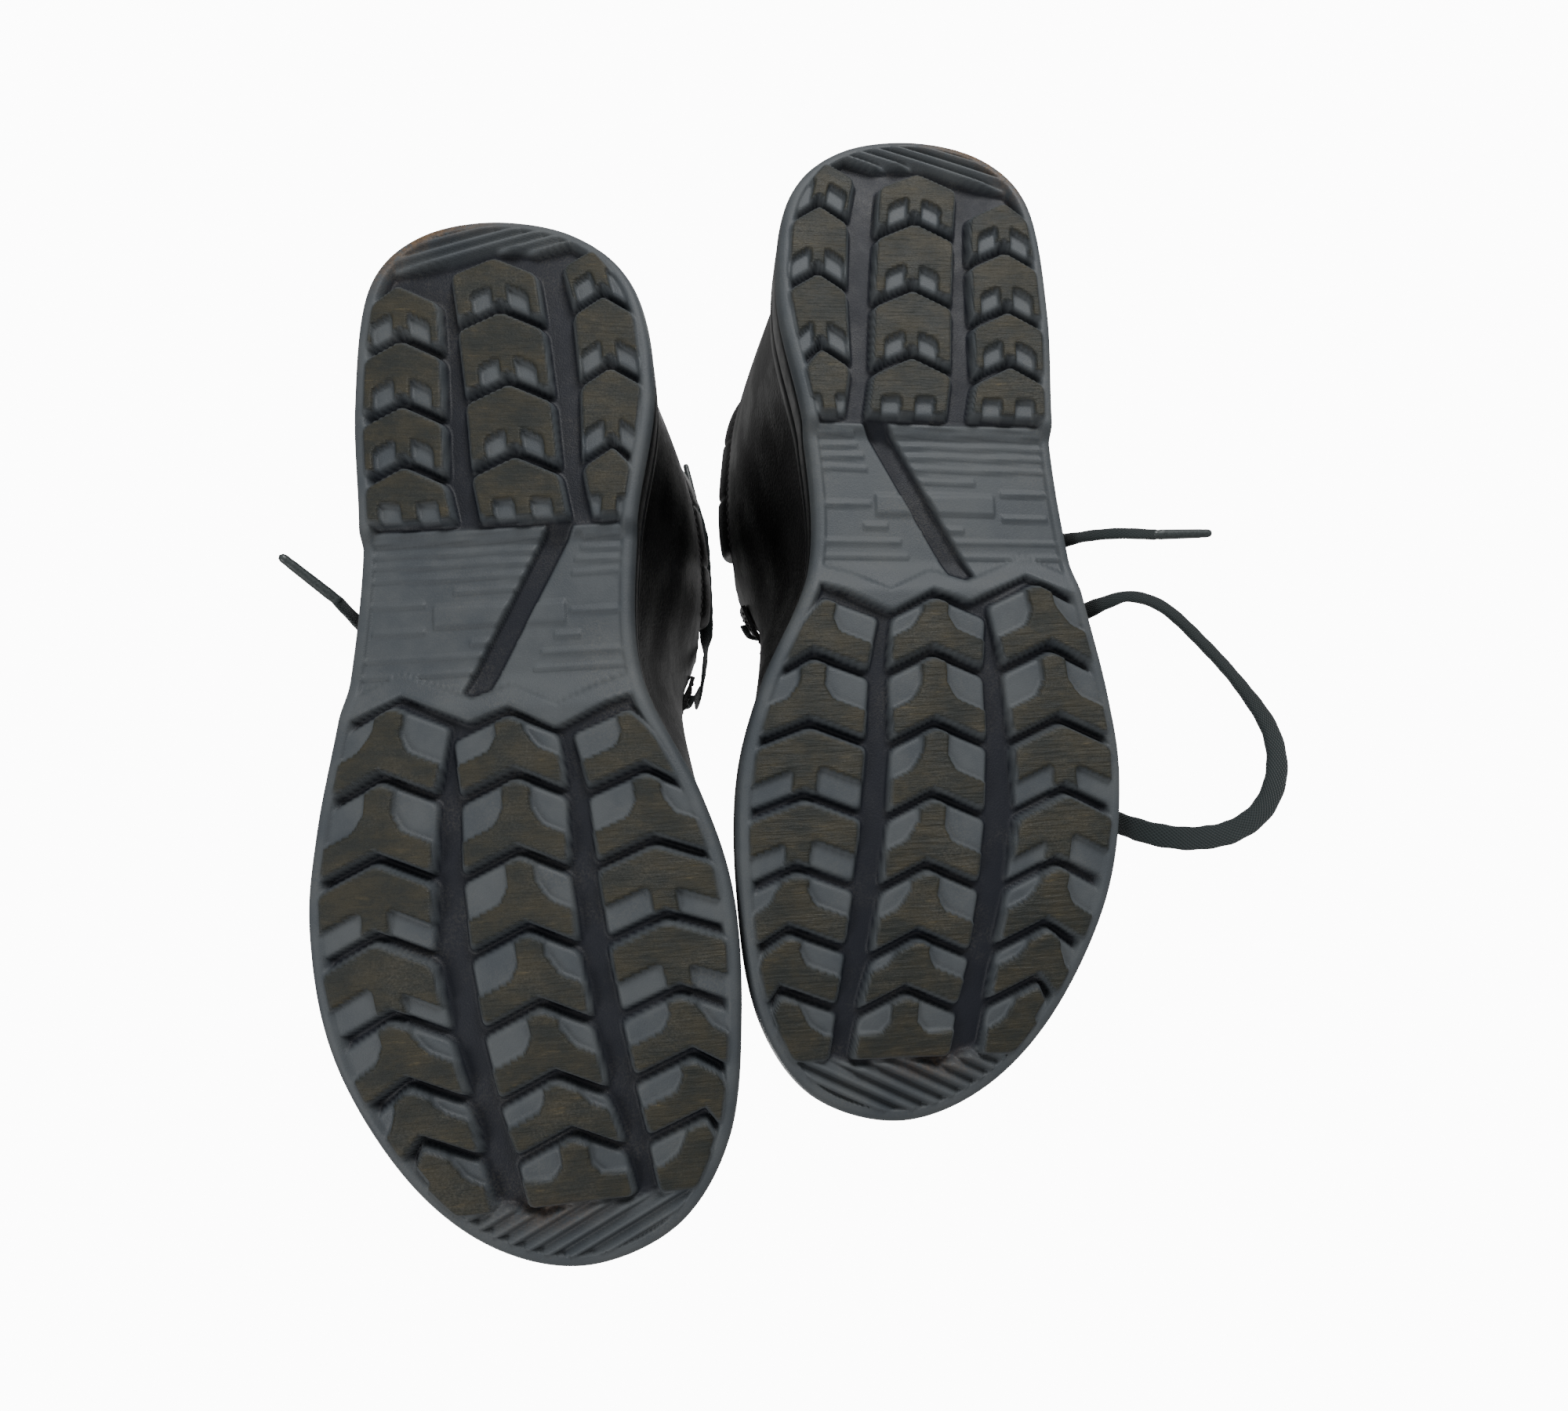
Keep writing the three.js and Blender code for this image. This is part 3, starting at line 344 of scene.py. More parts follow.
def edge_rubber():
    """Semi-gloss black sole edge with faint moulding swells and rubbed spots."""
    made, shader, w = material("edge_rubber", 0.36, coat=0.06, specular=0.35)
    at = w.here()
    dusty = use(w, DUST, Color=(0.010, 0.011, 0.012, 1), Amount=0.12, Scale=60.0)
    w.link(dusty.outputs["Color"], shader.inputs["Base Color"])
    w.link(w.ramp(w.noise(at, 90.0, 6.0, 0.7), 0.3, 0.75, 0.32, 0.5), shader.inputs["Roughness"])
    bump(w, shader, w.noise(at, 700.0, 5.0), 0.0003, 0.35)
    return made


def hide(name, tone, roughness, grain, creases):
    """Black leather: pebbled grain, slow changes of tone and gloss, light dust."""
    made, shader, w = material(name, roughness, coat=0.05, specular=0.3)
    pebbles = use(w, GRAIN, Scale=grain, Creases=creases)
    dark, light = (tuple(t * k for t in tone) + (1,) for k in (0.8, 1.35))
    dusty = use(w, DUST, Color=w.blend(pebbles.outputs["Tone"], dark, light), Amount=0.035, Scale=36.0)
    w.link(dusty.outputs["Color"], shader.inputs["Base Color"])
    gloss = w.ramp(pebbles.outputs["Tone"], 0.0, 1.0, roughness - 0.07, roughness + 0.1)
    w.link(gloss, shader.inputs["Roughness"])
    bump(w, shader, pebbles.outputs["Height"], 0.00035, 0.5)
    return made


def woven(name, tone, along, across, sheen=0.3, depth=0.0004):
    """Cloth with a plain weave on the piece's own lie, painted shade between its threads, fuzz and soft
    changes of tone.
    """
    made, shader, w = material(name, 0.85, sheen=sheen, specular=0.25)
    threads = use(w, WEAVE, Along=along, Across=across)
    at = w.here()
    dark, light = (tuple(t * k for t in tone) + (1,) for k in (0.55, 1.25))
    # painted shade: darker where the weave dips between threads
    cloth = w.blend(threads.outputs["Tone"], dark, light)
    pale = tuple(t * 1.7 for t in tone) + (1,)
    faded = w.blend(w.ramp(w.noise(at, 70.0, 5.0), 0.35, 0.7, 0.0, 0.35), cloth, pale)
    w.link(faded, shader.inputs["Base Color"])
    fuzz = w.math("MULTIPLY_ADD", w.noise(at, 3200.0, 2.0), 0.4, threads.outputs["Height"])
    bump(w, shader, fuzz, depth, 0.8)
    return made


def bright_metal(name, tone, roughness, metallic=1.0):
    """Pressed metal with fine brushed scratches, or dark paint over it."""
    made, shader, w = material(name, roughness, metallic, coat=0.2)
    at = w.here()
    scratch = w.noise(w.stretched(at, (1.0, 0.06, 1.0)), 2400.0, 4.0)
    rubbed = tuple(t * 1.5 for t in tone) + (1,)
    w.link(w.blend(w.ramp(scratch, 0.3, 0.7), tone + (1,), rubbed), shader.inputs["Base Color"])
    w.link(w.ramp(scratch, 0.3, 0.7, roughness - 0.08, roughness + 0.1), shader.inputs["Roughness"])
    bump(w, shader, scratch, 0.0001, 0.3)
    return made


def pressed_board():
    """Straw-coloured board of crossed fibres."""
    made, shader, w = material("pressed_board", 0.9)
    at = w.here()
    fibres = w.noise(w.stretched(at, (3.0, 0.4, 1.0)), 500.0, 5.0)
    straw = w.blend(w.ramp(fibres, 0.3, 0.7), (0.36, 0.33, 0.22, 1), (0.56, 0.52, 0.38, 1))
    w.link(straw, shader.inputs["Base Color"])
    bump(w, shader, fibres, 0.0004, 0.5)
    return made


def tip_film():
    """Clear film shrunk over the lace's end: the lace shows through its gloss."""
    made, shader, w = material("tip_film", 0.4, coat=0.15)
    at = w.here()
    threads = w.ramp(w.noise(at, 1500.0), 0.3, 0.7)
    w.link(w.blend(threads, (0.020, 0.027, 0.028, 1), (0.045, 0.055, 0.055, 1)), shader.inputs["Base Color"])
    bump(w, shader, w.noise(at, 1200.0), 0.0002, 0.4)
    return made


TREAD = tread_rubber()
EDGE = edge_rubber()
UPPER = hide("upper_hide", (0.0062, 0.0062, 0.0066), 0.44, 900.0, 0.35)
SOFT_HIDE = hide("soft_collar_hide", (0.0070, 0.0070, 0.0074), 0.5, 1300.0, 0.6)
LINING = woven("lining_mesh", (0.024, 0.025, 0.027), 1.6, 1.6)
TONGUE_CLOTH = woven("tongue_cloth", (0.017, 0.018, 0.019), 1.2, 1.2)
WEBBING = woven("webbing", (0.015, 0.016, 0.017), 0.9, 1.4)
LACE = woven("lace_braid", (0.019, 0.026, 0.027), 1.3, 1.0, 0.2, 0.0005)
THREAD = woven("seam_thread", (0.030, 0.030, 0.031), 0.5, 0.5)
EYELET = bright_metal("eyelet_paint", (0.016, 0.016, 0.018), 0.22, 0.6)
STEEL = bright_metal("cap_steel", (0.38, 0.39, 0.40), 0.36)
BOARD = pressed_board()
TIP = tip_film()

# ---------------------------------------------------------------- meshes from grids


def grid_faces(rows, columns, wrapped=False):
    """Quads between neighbouring points of a grid; wrapped joins the last column to the first."""
    i = np.arange(rows - 1)[:, None] * columns
    j = np.arange(columns if wrapped else columns - 1)[None, :]
    ahead = (j + 1) % columns
    return np.stack([i + j, i + columns + j, i + columns + ahead, i + ahead], -1).reshape(-1, 4)


def make_piece(name, side, points, faces, finish, body, slot, replaces=(), lie=None, extra=None):
    """A mesh from points and quads: placed, merged where corners meet, faces outwards, on its body."""
    co = in_row(side, points).reshape(-1, 3)
    key = np.round(co / 1e-7).astype(np.int64)
    _, first, again = np.unique(key, axis=0, return_index=True, return_inverse=True)
    again = again.reshape(-1)
    co = co[first]
    quads = again[np.asarray(faces)]
    same = (quads == np.roll(quads, -1, 1)).sum(1)
    whole = quads[same == 0]
    folded = quads[same == 1]
    twice = folded == np.roll(folded, -1, 1)
    thirds = np.array([f[~t] for f, t in zip(folded, twice)]).reshape(-1, 3)
    a, b, c, d = (co[whole[:, k]] for k in range(4))
    volume = (np.einsum("ij,ij->i", a, np.cross(b, c)) + np.einsum("ij,ij->i", a, np.cross(c, d))).sum()
    if len(thirds):
        a, b, c = (co[thirds[:, k]] for k in range(3))
        volume += np.einsum("ij,ij->i", a, np.cross(b, c)).sum()
    if volume < 0:
        whole, thirds = whole[:, ::-1], thirds[:, ::-1]
    loops = np.concatenate([whole.reshape(-1), thirds.reshape(-1)]).astype(np.int32)
    counts = np.concatenate([np.full(len(whole), 4), np.full(len(thirds), 3)]).astype(np.int32)
    starts = np.concatenate([[0], np.cumsum(counts)[:-1]]).astype(np.int32)
    mesh = bpy.data.meshes.new(name)
    mesh.vertices.add(len(co))
    mesh.vertices.foreach_set("co", co.astype(np.float32).reshape(-1))
    mesh.loops.add(len(loops))
    mesh.loops.foreach_set("vertex_index", loops)
    mesh.polygons.add(len(counts))
    mesh.polygons.foreach_set("loop_start", starts)
    mesh.polygons.foreach_set("use_smooth", np.ones(len(counts), bool))
    mesh.update(calc_edges=True)
    mesh.validate()
    for label, values in (("lie", lie), *(extra or {}).items()):
        if values is None:
            continue
        attribute = mesh.attributes.new(label, "FLOAT_VECTOR", "POINT")
        attribute.data.foreach_set("vector", np.asarray(values, np.float32).reshape(-1, 3)[first].reshape(-1))
    mesh.materials.append(finish)
    piece = bpy.data.objects.new(name, mesh)
    bpy.context.scene.collection.objects.link(piece)
    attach(piece, body)
    if replaces:
        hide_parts(*replaces)
    return piece


def ring_piece(name, side, rings, *rest, **more):
    """A piece made from rings of points, each row closed on itself."""
    return make_piece(name, side, rings, grid_faces(*rings.shape[:2], wrapped=True), *rest, **more)


def crisp(piece, width):
    """Rounds the edges of a panel that are sharper than 40 degrees."""
    bevel = piece.modifiers.new("rounded_edges", "BEVEL")
    bevel.width = width
    bevel.segments = 2
    bevel.angle_limit = math.radians(40)


def shell(outer, inner):
    """Points and faces of a closed sheet between two grids of points, with walls round its border."""
    rows, columns = outer.shape[:2]
    points = np.concatenate([outer.reshape(-1, 3), inner.reshape(-1, 3)])
    n = rows * columns
    skin_faces = grid_faces(rows, columns)
    index = np.arange(n).reshape(rows, columns)
    rim = np.concatenate([index[0, :], index[1:, -1], index[-1, -2::-1], index[-2:0:-1, 0]])
    after = np.roll(rim, -1)
    walls = np.stack([rim, rim + n, after + n, after], -1)
    return points, np.concatenate([skin_faces, skin_faces[:, ::-1] + n, walls])


def smooth(low, high, value):
    """0 below low, 1 above high, and a cubic between."""
    t = np.clip((np.asarray(value, float) - low) / (high - low), 0, 1)
    return t * t * (3 - 2 * t)


def mix(low, high, share):
    return low + (high - low) * share


# ---------------------------------------------------------------- the boot's outline and skin

TOE = 11
THROAT = 8
SPRING_FULL = 302.0
LUG_DEPTH = 4.5
OUTSOLE_BASE = 2.8
GAP = 0.3
LEATHER = 2.2
LINING_THICKNESS = 2.8
OVERLAY = 1.6

OUTLINE = {
    "lateral": [(-2, -5), (-24.5, 1.5), (-39, 21), (-43.4, 58), (-43, 100), (-47.5, 140), (-55.3, 180),
                (-57.4, 208), (-51.5, 242), (-34.5, 276.5), (-13.5, 298), (11, 306)],
    "medial": [(-2, -5), (22.5, 1.5), (40, 21), (43.9, 55), (36, 97), (34.8, 140), (50, 177),
               (57.4, 206), (57.4, 240), (52, 273.5), (36.5, 297), (11, 306)],
}
TOP_LINE = {
    "lateral": [(8, 2, 150), (-17, 10, 149), (-33, 30, 147), (-39, 58, 147), (-38, 90, 151), (-27, 120, 157),
                (-20, 148, 123), (-11, 176, 97), (2, 194, 83)],
    "medial": [(8, 2, 150), (34, 9, 149), (51, 29, 147), (56.5, 57, 147), (57, 89, 151), (48, 119, 157),
               (33, 147, 123), (15, 176, 97), (2, 194, 83)],
}
RIDGE = [(2, 194, 83), (4, 228, 76.5), (7, 258, 72.5), (10, 281, 69)]
# how each meridian leaves the sole and reaches the top line: out, up, out, up
FULLNESS = [(3, 36, -5, -44), (3, 35, -4, -42), (3, 34, 0, -40), (3, 33, 1, -42),
            (3, 33, 2, -42), (3, 32, 5, -38), (4, 30, 15, -26), (5, 27, 24, -13),
            (5, 26, 30, 1), (4, 27, 31, 0), (3, 27, 23, 0), (2, 27, 13, -1)]


def through(rows, before, after, station):
    """Cubic through a table's rows: between two rows its slopes come from the rows on either side."""
    table = np.array([before, *rows, after], float)
    station = np.asarray(station, float)
    i = np.clip(np.floor(station).astype(int), 0, len(rows) - 2)
    t = (station - i)[..., None]
    p0, p1, p2, p3 = (table[i + k] for k in range(4))
    bend = 2 * p0 - 5 * p1 + 4 * p2 - p3
    twist = 3 * p1 - p0 - 3 * p2 + p3
    return p1 + 0.5 * ((p2 - p0) * t + bend * t * t + twist * t**3)


def ground(a):
    """Lowest level of the sole: squares of the distance into the toe spring and the heel bevel."""
    toe = np.maximum(0, (a - 215) / (SPRING_FULL - 215))
    heel = np.maximum(0, (22 - a) / 27)
    return 13 * toe**2 + 5 * heel**2


def arch(a):
    return smooth(94, 100, a) * (1 - smooth(138, 150, a))


def outsole_top(a):
    return ground(a) + LUG_DEPTH + 3.5 * arch(a) + OUTSOLE_BASE


def feather(a):
    """Top of the midsole: high under the heel, falling through the waist."""
    return ground(a) + mix(19, 29, 1 - smooth(80, 190, a))


def outline(flank, station):
    mirror = OUTLINE["medial" if flank == "lateral" else "lateral"]
    return through(OUTLINE[flank], mirror[1], mirror[TOE - 1], station)


def outward(flank, station):
    """Unit vector square to the outline, away from the sole."""
    step = outline(flank, np.asarray(station) + 0.02) - outline(flank, np.asarray(station) - 0.02)
    sign = 1 if flank == "lateral" else -1
    way = np.stack([-step[..., 1] * sign, step[..., 0] * sign], -1)
    return way / np.linalg.norm(way, axis=-1, keepdims=True)


def edge_points(flank, station, inset):
    """Outline [b, a] moved inwards by an inset."""
    return outline(flank, station) - outward(flank, station) * np.asarray(inset, float)[..., None]


def top_line(flank, station):
    mirror = TOP_LINE["medial" if flank == "lateral" else "lateral"]
    collar = through(TOP_LINE[flank], mirror[1], mirror[THROAT - 1], np.minimum(station, THROAT))
    ridge = through(RIDGE, (1, 172, 92), RIDGE[2], np.maximum(station, THROAT) - THROAT)
    line = np.where((np.asarray(station) < THROAT)[..., None], collar, ridge)
    return line * (1, -1, 1)


def meridian(flank, station, v):
    """Cubic curve from the sole's feather line to the top line, leaving and reaching them by FULLNESS."""
    foot = edge_points(flank, station, np.full(np.shape(station), 3.0))
    out = outward(flank, station)
    out1, up1, out2, up2 = np.moveaxis(through(FULLNESS, FULLNESS[1], FULLNESS[TOE - 1], station), -1, 0)
    p0 = np.stack([foot[..., 0], -foot[..., 1], feather(foot[..., 1]) + GAP], -1)
    p1 = p0 + np.stack([out[..., 0] * out1, -out[..., 1] * out1, up1], -1)
    p3 = top_line(flank, station)
    p2 = p3 + np.stack([out[..., 0] * out2, -out[..., 1] * out2, up2], -1)
    v = np.asarray(v, float)[..., None]
    u = 1 - v
    return p0 * u**3 + p1 * 3 * u * u * v + p2 * 3 * u * v * v + p3 * v**3


def flank_skin(flank, station, v, depth):
    sign = 1.0 if flank == "lateral" else -1.0
    reach = 0.01
    up = meridian(flank, station, v + reach) - meridian(flank, station, v - reach)
    along = meridian(flank, station + reach, v) - meridian(flank, station - reach, v)
    along = np.where((station <= 0)[..., None], (-sign, 0, 0), along)
    along = np.where((station >= TOE)[..., None], (sign, 0, 0), along)
    normal = np.cross(along, up) * sign
    ahead = top_line(flank, station + reach) - top_line(flank, np.maximum(station - reach, THROAT))
    on_ridge = (v >= 1) & (station >= THROAT) & (station < TOE)
    normal = np.where(on_ridge[..., None], np.cross(ahead, (1.0, 0, 0)), normal)
    normal = normal / np.linalg.norm(normal, axis=-1, keepdims=True)
    return meridian(flank, station, v) + normal * depth[..., None]


def skin(flank, station, v, depth):
    """Point of the upper at a depth outside (+) or inside (-) the leather's face; centre lines are shared."""
    station, v, depth = (np.array(x, float) for x in np.broadcast_arrays(station, v, depth))
    shared = (station <= 0) | (station >= TOE) | ((v >= 1) & (station >= THROAT))
    own = flank_skin(flank, station, v, depth)
    return np.where(shared[..., None], flank_skin("lateral", station, v, depth), own)


# ---------------------------------------------------------------- laces

LACE_WIDTH = 7.0
LACE_THICKNESS = 1.6
LACE_STEP = 1.1
RIPPLE = 0.03  # share of the width


def rounded_flat(width, thickness, count=16):
    """Corners of a flat oval: cosine and sine, each raised to the power 0.6 with its sign kept."""
    angle = np.linspace(0, 2 * np.pi, count, endpoint=False) + np.pi / 2
    unit = np.stack([np.cos(angle), np.sin(angle)], -1)
    return np.sign(unit) * np.abs(unit) ** 0.6 * (width, thickness) / 2


def resampled(points, spacing, *carried):
    """A smooth curve through the points (cubic between each two), cut into steps of about one spacing."""
    points = np.asarray(points, float)
    rows = np.arange(len(points) - 1)[:, None] + np.linspace(0, 1, 12, endpoint=False)
    t = np.append(rows.reshape(-1), len(points) - 1)
    first, last = 2 * points[0] - points[1], 2 * points[-1] - points[-2]
    fine = through(points, first, last, t)
    length = np.append(0, np.cumsum(np.linalg.norm(np.diff(fine, axis=0), axis=1)))
    wanted = np.linspace(0, length[-1], max(int(length[-1] / spacing), 3) + 1)
    share = np.interp(wanted, length, t)
    values = [np.stack([np.interp(share, np.arange(len(c)), c[:, k]) for k in range(c.shape[1])], -1)
              for c in (np.asarray(c, float) for c in carried)]
    return (through(points, first, last, share), wanted, *values)


def ribbon(path, faces, section):
    """Rings of a section carried along a path: x across it, y towards the face direction there."""
    ahead = np.gradient(path, axis=0)
    ahead /= np.linalg.norm(ahead, axis=1, keepdims=True)
    across = np.cross(ahead, faces)
    across /= np.linalg.norm(across, axis=1, keepdims=True)
    up = np.cross(across, ahead)
    return path[:, None] + across[:, None] * section[..., 0:1] + up[:, None] * section[..., 1:2]


def capped(rings):
    """Rings with their first and last drawn together to a point, so that the tube is closed."""
    first, last = rings[:1].mean(1, keepdims=True), rings[-1:].mean(1, keepdims=True)
    size = (1, rings.shape[1], 3)
    return np.concatenate([np.broadcast_to(first, size), rings, np.broadcast_to(last, size)])


def lace_lie(lengths, section):
    """Distance along and round the lace at each point, with one more row at both ends."""
    lengths = np.concatenate([lengths[:1], lengths, lengths[-1:]])
    round_it = np.append(0, np.cumsum(np.linalg.norm(np.diff(section, axis=0), axis=1)))
    grid = np.zeros((len(lengths), len(section), 3))
    grid[..., 0] = lengths[:, None]
    grid[..., 1] = round_it[None, :]
    return grid


def flat_lace(points, faces, widths):
    """Rings and lie of a braided flat lace: a flat oval along the route, its width rippling a little.

    widths holds (share of the length, share of the width): where the braid is drawn narrow it gets thicker.
    """
    path, lengths, normals = resampled(points, LACE_STEP, faces)
    section = rounded_flat(LACE_WIDTH, LACE_THICKNESS)
    sections = np.repeat(section[None], len(path), 0)
    narrow = np.interp(lengths / lengths[-1], *np.array(widths, float).T)
    sections[..., 0] *= (narrow * (1 + RIPPLE * np.sin(lengths * 0.9)))[:, None]
    sections[..., 1] *= (1 + 0.7 * (1 - narrow))[:, None]
    rings = capped(ribbon(path, normals, sections))
    return rings, lace_lie(lengths, section), path, lengths[-1]


# free lace from the eyelet it leaves to its end: b, a, z, and how far it stands up against the side
SIDE_FALL = [(-33.3, 133.6, 136.9, 1), (-35.2, 132.5, 126, 1), (-38.5, 130.5, 113, 1), (-41.5, 128.5, 98, 1),
             (-44.3, 126.5, 82, 1)]
LACE_ROUTES = {
    "left_lace_end_lateral": [
        *SIDE_FALL, (-46.4, 124.5, 66, 1), (-48, 122.5, 50, 1), (-49, 120.5, 35, 1),
        (-49.5, 118.3, 24, 1), (-50.6, 115.6, 16.5, 0.8), (-52.4, 112.4, 11.5, 0.6)],
    "left_lace_end_medial": [
        (50.4, 132.9, 136, 1), (51.6, 131.6, 129, 1), (53.3, 127.8, 124.8, 1), (54.6, 121.5, 126, 1),
        (55.4, 116, 133.5, 1), (56.2, 111.5, 143.5, 1), (56.9, 106, 152.5, 0.7), (57.4, 97, 156, 0.3),
        (57.8, 86, 154, 0.15), (58, 72, 151, 0.1), (58, 57, 149.8, 0.1), (57.2, 44, 149.8, 0.1),
        (55.8, 34, 149.8, 0.1)],
    "right_lace_bight": [
        (-30.5, 150, 118.8, 1), (-35.6, 151.8, 107, 1), (-41.8, 151, 89, 1), (-47.6, 151, 68, 1),
        (-50.8, 151.5, 48, 1), (-52.8, 152, 31, 1), (-54.2, 152.5, 16, 0.8), (-57.4, 151.6, 5.5, 0.4),
        (-64, 150.5, 1.4, 0), (-74.4, 154, 1.4, 0), (-86, 165, 1.4, 0), (-97, 178, 1.4, 0),
        (-105.5, 192, 1.4, 0), (-106.5, 205, 1.4, 0), (-101, 216, 1.4, 0), (-91, 222.5, 1.4, 0),
        (-79, 224.5, 1.4, 0), (-69, 223.5, 3.2, 0.2), (-63, 221, 10, 0.7), (-61, 218, 21, 1),
        (-59.3, 214, 34, 1), (-55.5, 208, 50, 0.9), (-49.3, 200.5, 65, 0.8), (-40.5, 192.5, 79.5, 0.7),
        (-30.5, 185.5, 90, 0.7), (-21.9, 180.9, 96.6, 0.7)],
    "right_lace_end": [
        *SIDE_FALL, (-46.4, 124.8, 66, 1), (-48, 124.3, 50, 1), (-49, 125.3, 35, 1),
        (-49.8, 127, 22, 1), (-51.6, 128.8, 11.5, 0.8), (-56, 130, 4.2, 0.4), (-63, 130.3, 1.6, 0),
        (-73.5, 130.4, 2, 0)],
}
# share of the lace's length, share of its full width
LACE_WIDTHS = {
    "left_lace_end_lateral": [(0, 1), (0.8, 0.9), (0.95, 0.55), (1, 0.46)],
    "left_lace_end_medial": [(0, 1), (0.85, 1), (1, 0.46)],
    "right_lace_bight": [(0, 1), (0.28, 1), (0.34, 0.5), (0.46, 0.55), (0.55, 1), (1, 1)],
    "right_lace_end": [(0, 1), (0.74, 0.9), (0.84, 0.5), (1, 0.46)],
}
AGLETS = {
    "left_lace_end_lateral": ("left_aglet_lateral", (-0.62, -0.6, -0.5)),
    "left_lace_end_medial": ("left_aglet_medial", (-0.16, -0.98, 0)),
    "right_lace_end": ("right_aglet", (-1, -0.04, 0)),
}
AGLET_LENGTH = 18.0
AGLET_RADIUS = 1.7
AGLET_GAP = 0.8
AGLET_OVERLAP = 1.5  # the film starts this far back over the lace


def lace_tip(side, node, start, heading):
    """A film-wrapped tip: rings along its heading that narrow at two crimps and round off at the ends."""
    way = np.array(heading, float) * (1, -1, 1)
    way /= np.linalg.norm(way)
    across = np.cross(way, (0, 0, 1.0))
    across /= np.linalg.norm(across)
    up = np.cross(across, way)
    t = np.linspace(0, 1, 40)
    radius = AGLET_RADIUS * (0.97 - 0.17 * t) * np.sqrt(np.clip(1 - np.abs(2 * t - 1) ** 14, 0, 1))
    radius *= 1 - 0.06 * np.exp(-(((t - 0.12) / 0.03) ** 2)) - 0.05 * np.exp(-(((t - 0.85) / 0.03) ** 2))
    angle = np.linspace(0, 2 * np.pi, 16, endpoint=False)
    ring = across * np.cos(angle)[:, None] + up * np.sin(angle)[:, None]
    reach = (AGLET_GAP + AGLET_LENGTH + AGLET_OVERLAP) * t - AGLET_OVERLAP
    centre = start + way * reach[:, None]
    rings = centre[:, None] + ring * radius[:, None, None]
    return ring_piece(node + "_film", side, rings, TIP, side + "_boot", "aglet", [node])


def free_laces():
    for node, route in LACE_ROUTES.items():
        side = node.split("_")[0]
        route = np.array(route, float)
        stand = route[:, 3]
        faces = np.stack([-stand, 0 * stand, 1 - stand], -1)
        faces[:, 0] *= -np.sign(route[:, 0])
        faces /= np.linalg.norm(faces, axis=1, keepdims=True)
        points = route[:, :3] * (1, -1, 1)
        rings, lie, path, length = flat_lace(points, faces, LACE_WIDTHS[node])
        piece = ring_piece(node + "_braid", side, rings, LACE, side + "_boot", "lace", [node], lie)
        tips = []
        if node in AGLETS:
            tip, heading = AGLETS[node]
            tips = [lace_tip(side, tip, path[-1], heading)]


free_laces()

# ---------------------------------------------------------------- tread

RIM = 3.2
LUG_GAP = 3.6
HEEL_COLUMNS = [
    {"apexes": [(-29.5, 20.5), (-29, 38), (-29, 58.5), (-29, 77)], "medial": 11.5, "rise": 6},
    {"apexes": [(-1.5, 11.5), (0, 29.5), (1.5, 52.5), (2.5, 75)], "lateral": 12.5, "medial": 12.5, "rise": 6},
    {"apexes": [(28, 9), (30.5, 25), (31.5, 48), (31, 73)], "lateral": 9, "rise": 6},
]
FOREFOOT_COLUMNS = [
    {"apexes": [(-34, 147), (-37.5, 168), (-39, 190), (-39.5, 211), (-36, 232), (-32.5, 250), (-30, 266)],
     "medial": 15, "rise": 7},
    {"apexes": [(-2.5, 151.5), (-1, 169.5), (-1, 191), (0.5, 212), (3, 232.5), (6, 252), (9.5, 268)],
     "lateral": 15, "medial": 13.5, "rise": 6.5},
    {"apexes": [(31.5, 152), (35, 170.5), (36.5, 191), (38.5, 212), (41, 232.5), (43.5, 250), (46, 267)],
     "lateral": 16, "rise": 6},
]
HEEL_END = 93.5
FOREFOOT_END = 286.0
ZIGZAG = [(-46, 147), (-32, 140), (-13, 149), (-2, 145), (11, 152), (24, 146), (38, 142)]
SLANT = [(16, 92), (-14, 148)]
# cross ridges of the waist: a, b from, b to
WAIST_RIDGES = [(98.5, -40, 11), (102, -40, 9), (105.5, -40, 8), (109.5, -40, 7), (113.5, -17, 5),
                (117, -40, -26), (125, -40, -26), (129, -13, 0), (133, -43, -3), (137.5, -44, -5),
                (98.5, 21, 34), (102, 20, 34), (105.5, 18, 33), (109.5, 17, 33), (121, 16, 32),
                (128, 11, 18), (133, 7, 33), (137.5, 5, 34)]
PLAQUE = (-24, 15, 117, 125)  # b from, b to, a from, a to: a plain raised bar
# front lines of the ribbed tips: b, a
HEEL_TIP_LINE = [(-32, 15), (-14, 12), (-1.5, 7.5), (12, 8.5), (22, 6.0), (34, 9.0)]
TOE_TIP_LINE = [(-24, 279), (0, 289), (10, 285.5), (24, 288), (40, 283)]
RIM_HEIGHT = 3.3
RIDGE_HEIGHT = 3.2
WAIST_HEIGHT = 2.4


def side_at(flank, a, inset):
    """Outline's b at a distance a, moved inwards by an inset."""
    stations = np.linspace(0, TOE, 400)
    line = edge_points(flank, stations, np.full(400, float(inset)))
    return float(np.interp(a, line[:, 1], line[:, 0]))


def lug_corners(column, end):
    """Six corners of each chevron lug of a column: apex, shoulder, foot, notch, foot, shoulder."""
    apexes, rise = column["apexes"], column["rise"]
    for row, (b, a) in enumerate(apexes):
        last = row + 1 == len(apexes)
        next_b, next_a = (b + 2, end) if last else apexes[row + 1]
        shoulder = a + rise
        foot = a + (next_a - a) - (0 if last else LUG_GAP) + (0 if last else rise)

        def reach(flank, centre, along):
            sign = -1 if flank == "lateral" else 1
            edge = side_at(flank, min(along, SPRING_FULL - 6), RIM)
            wanted = centre + sign * column[flank] if flank in column else edge
            return max(wanted, edge) if sign < 0 else min(wanted, edge)

        feet = [reach("medial", next_b, foot), reach("lateral", next_b, foot)]
        notch_b = sum(feet) / 2 if last else next_b
        yield row, [(b, a), (reach("medial", b, shoulder), shoulder), (feet[0], foot),
                    (notch_b, foot - (0 if last else rise)), (feet[1], foot),
                    (reach("lateral", b, shoulder), shoulder)]


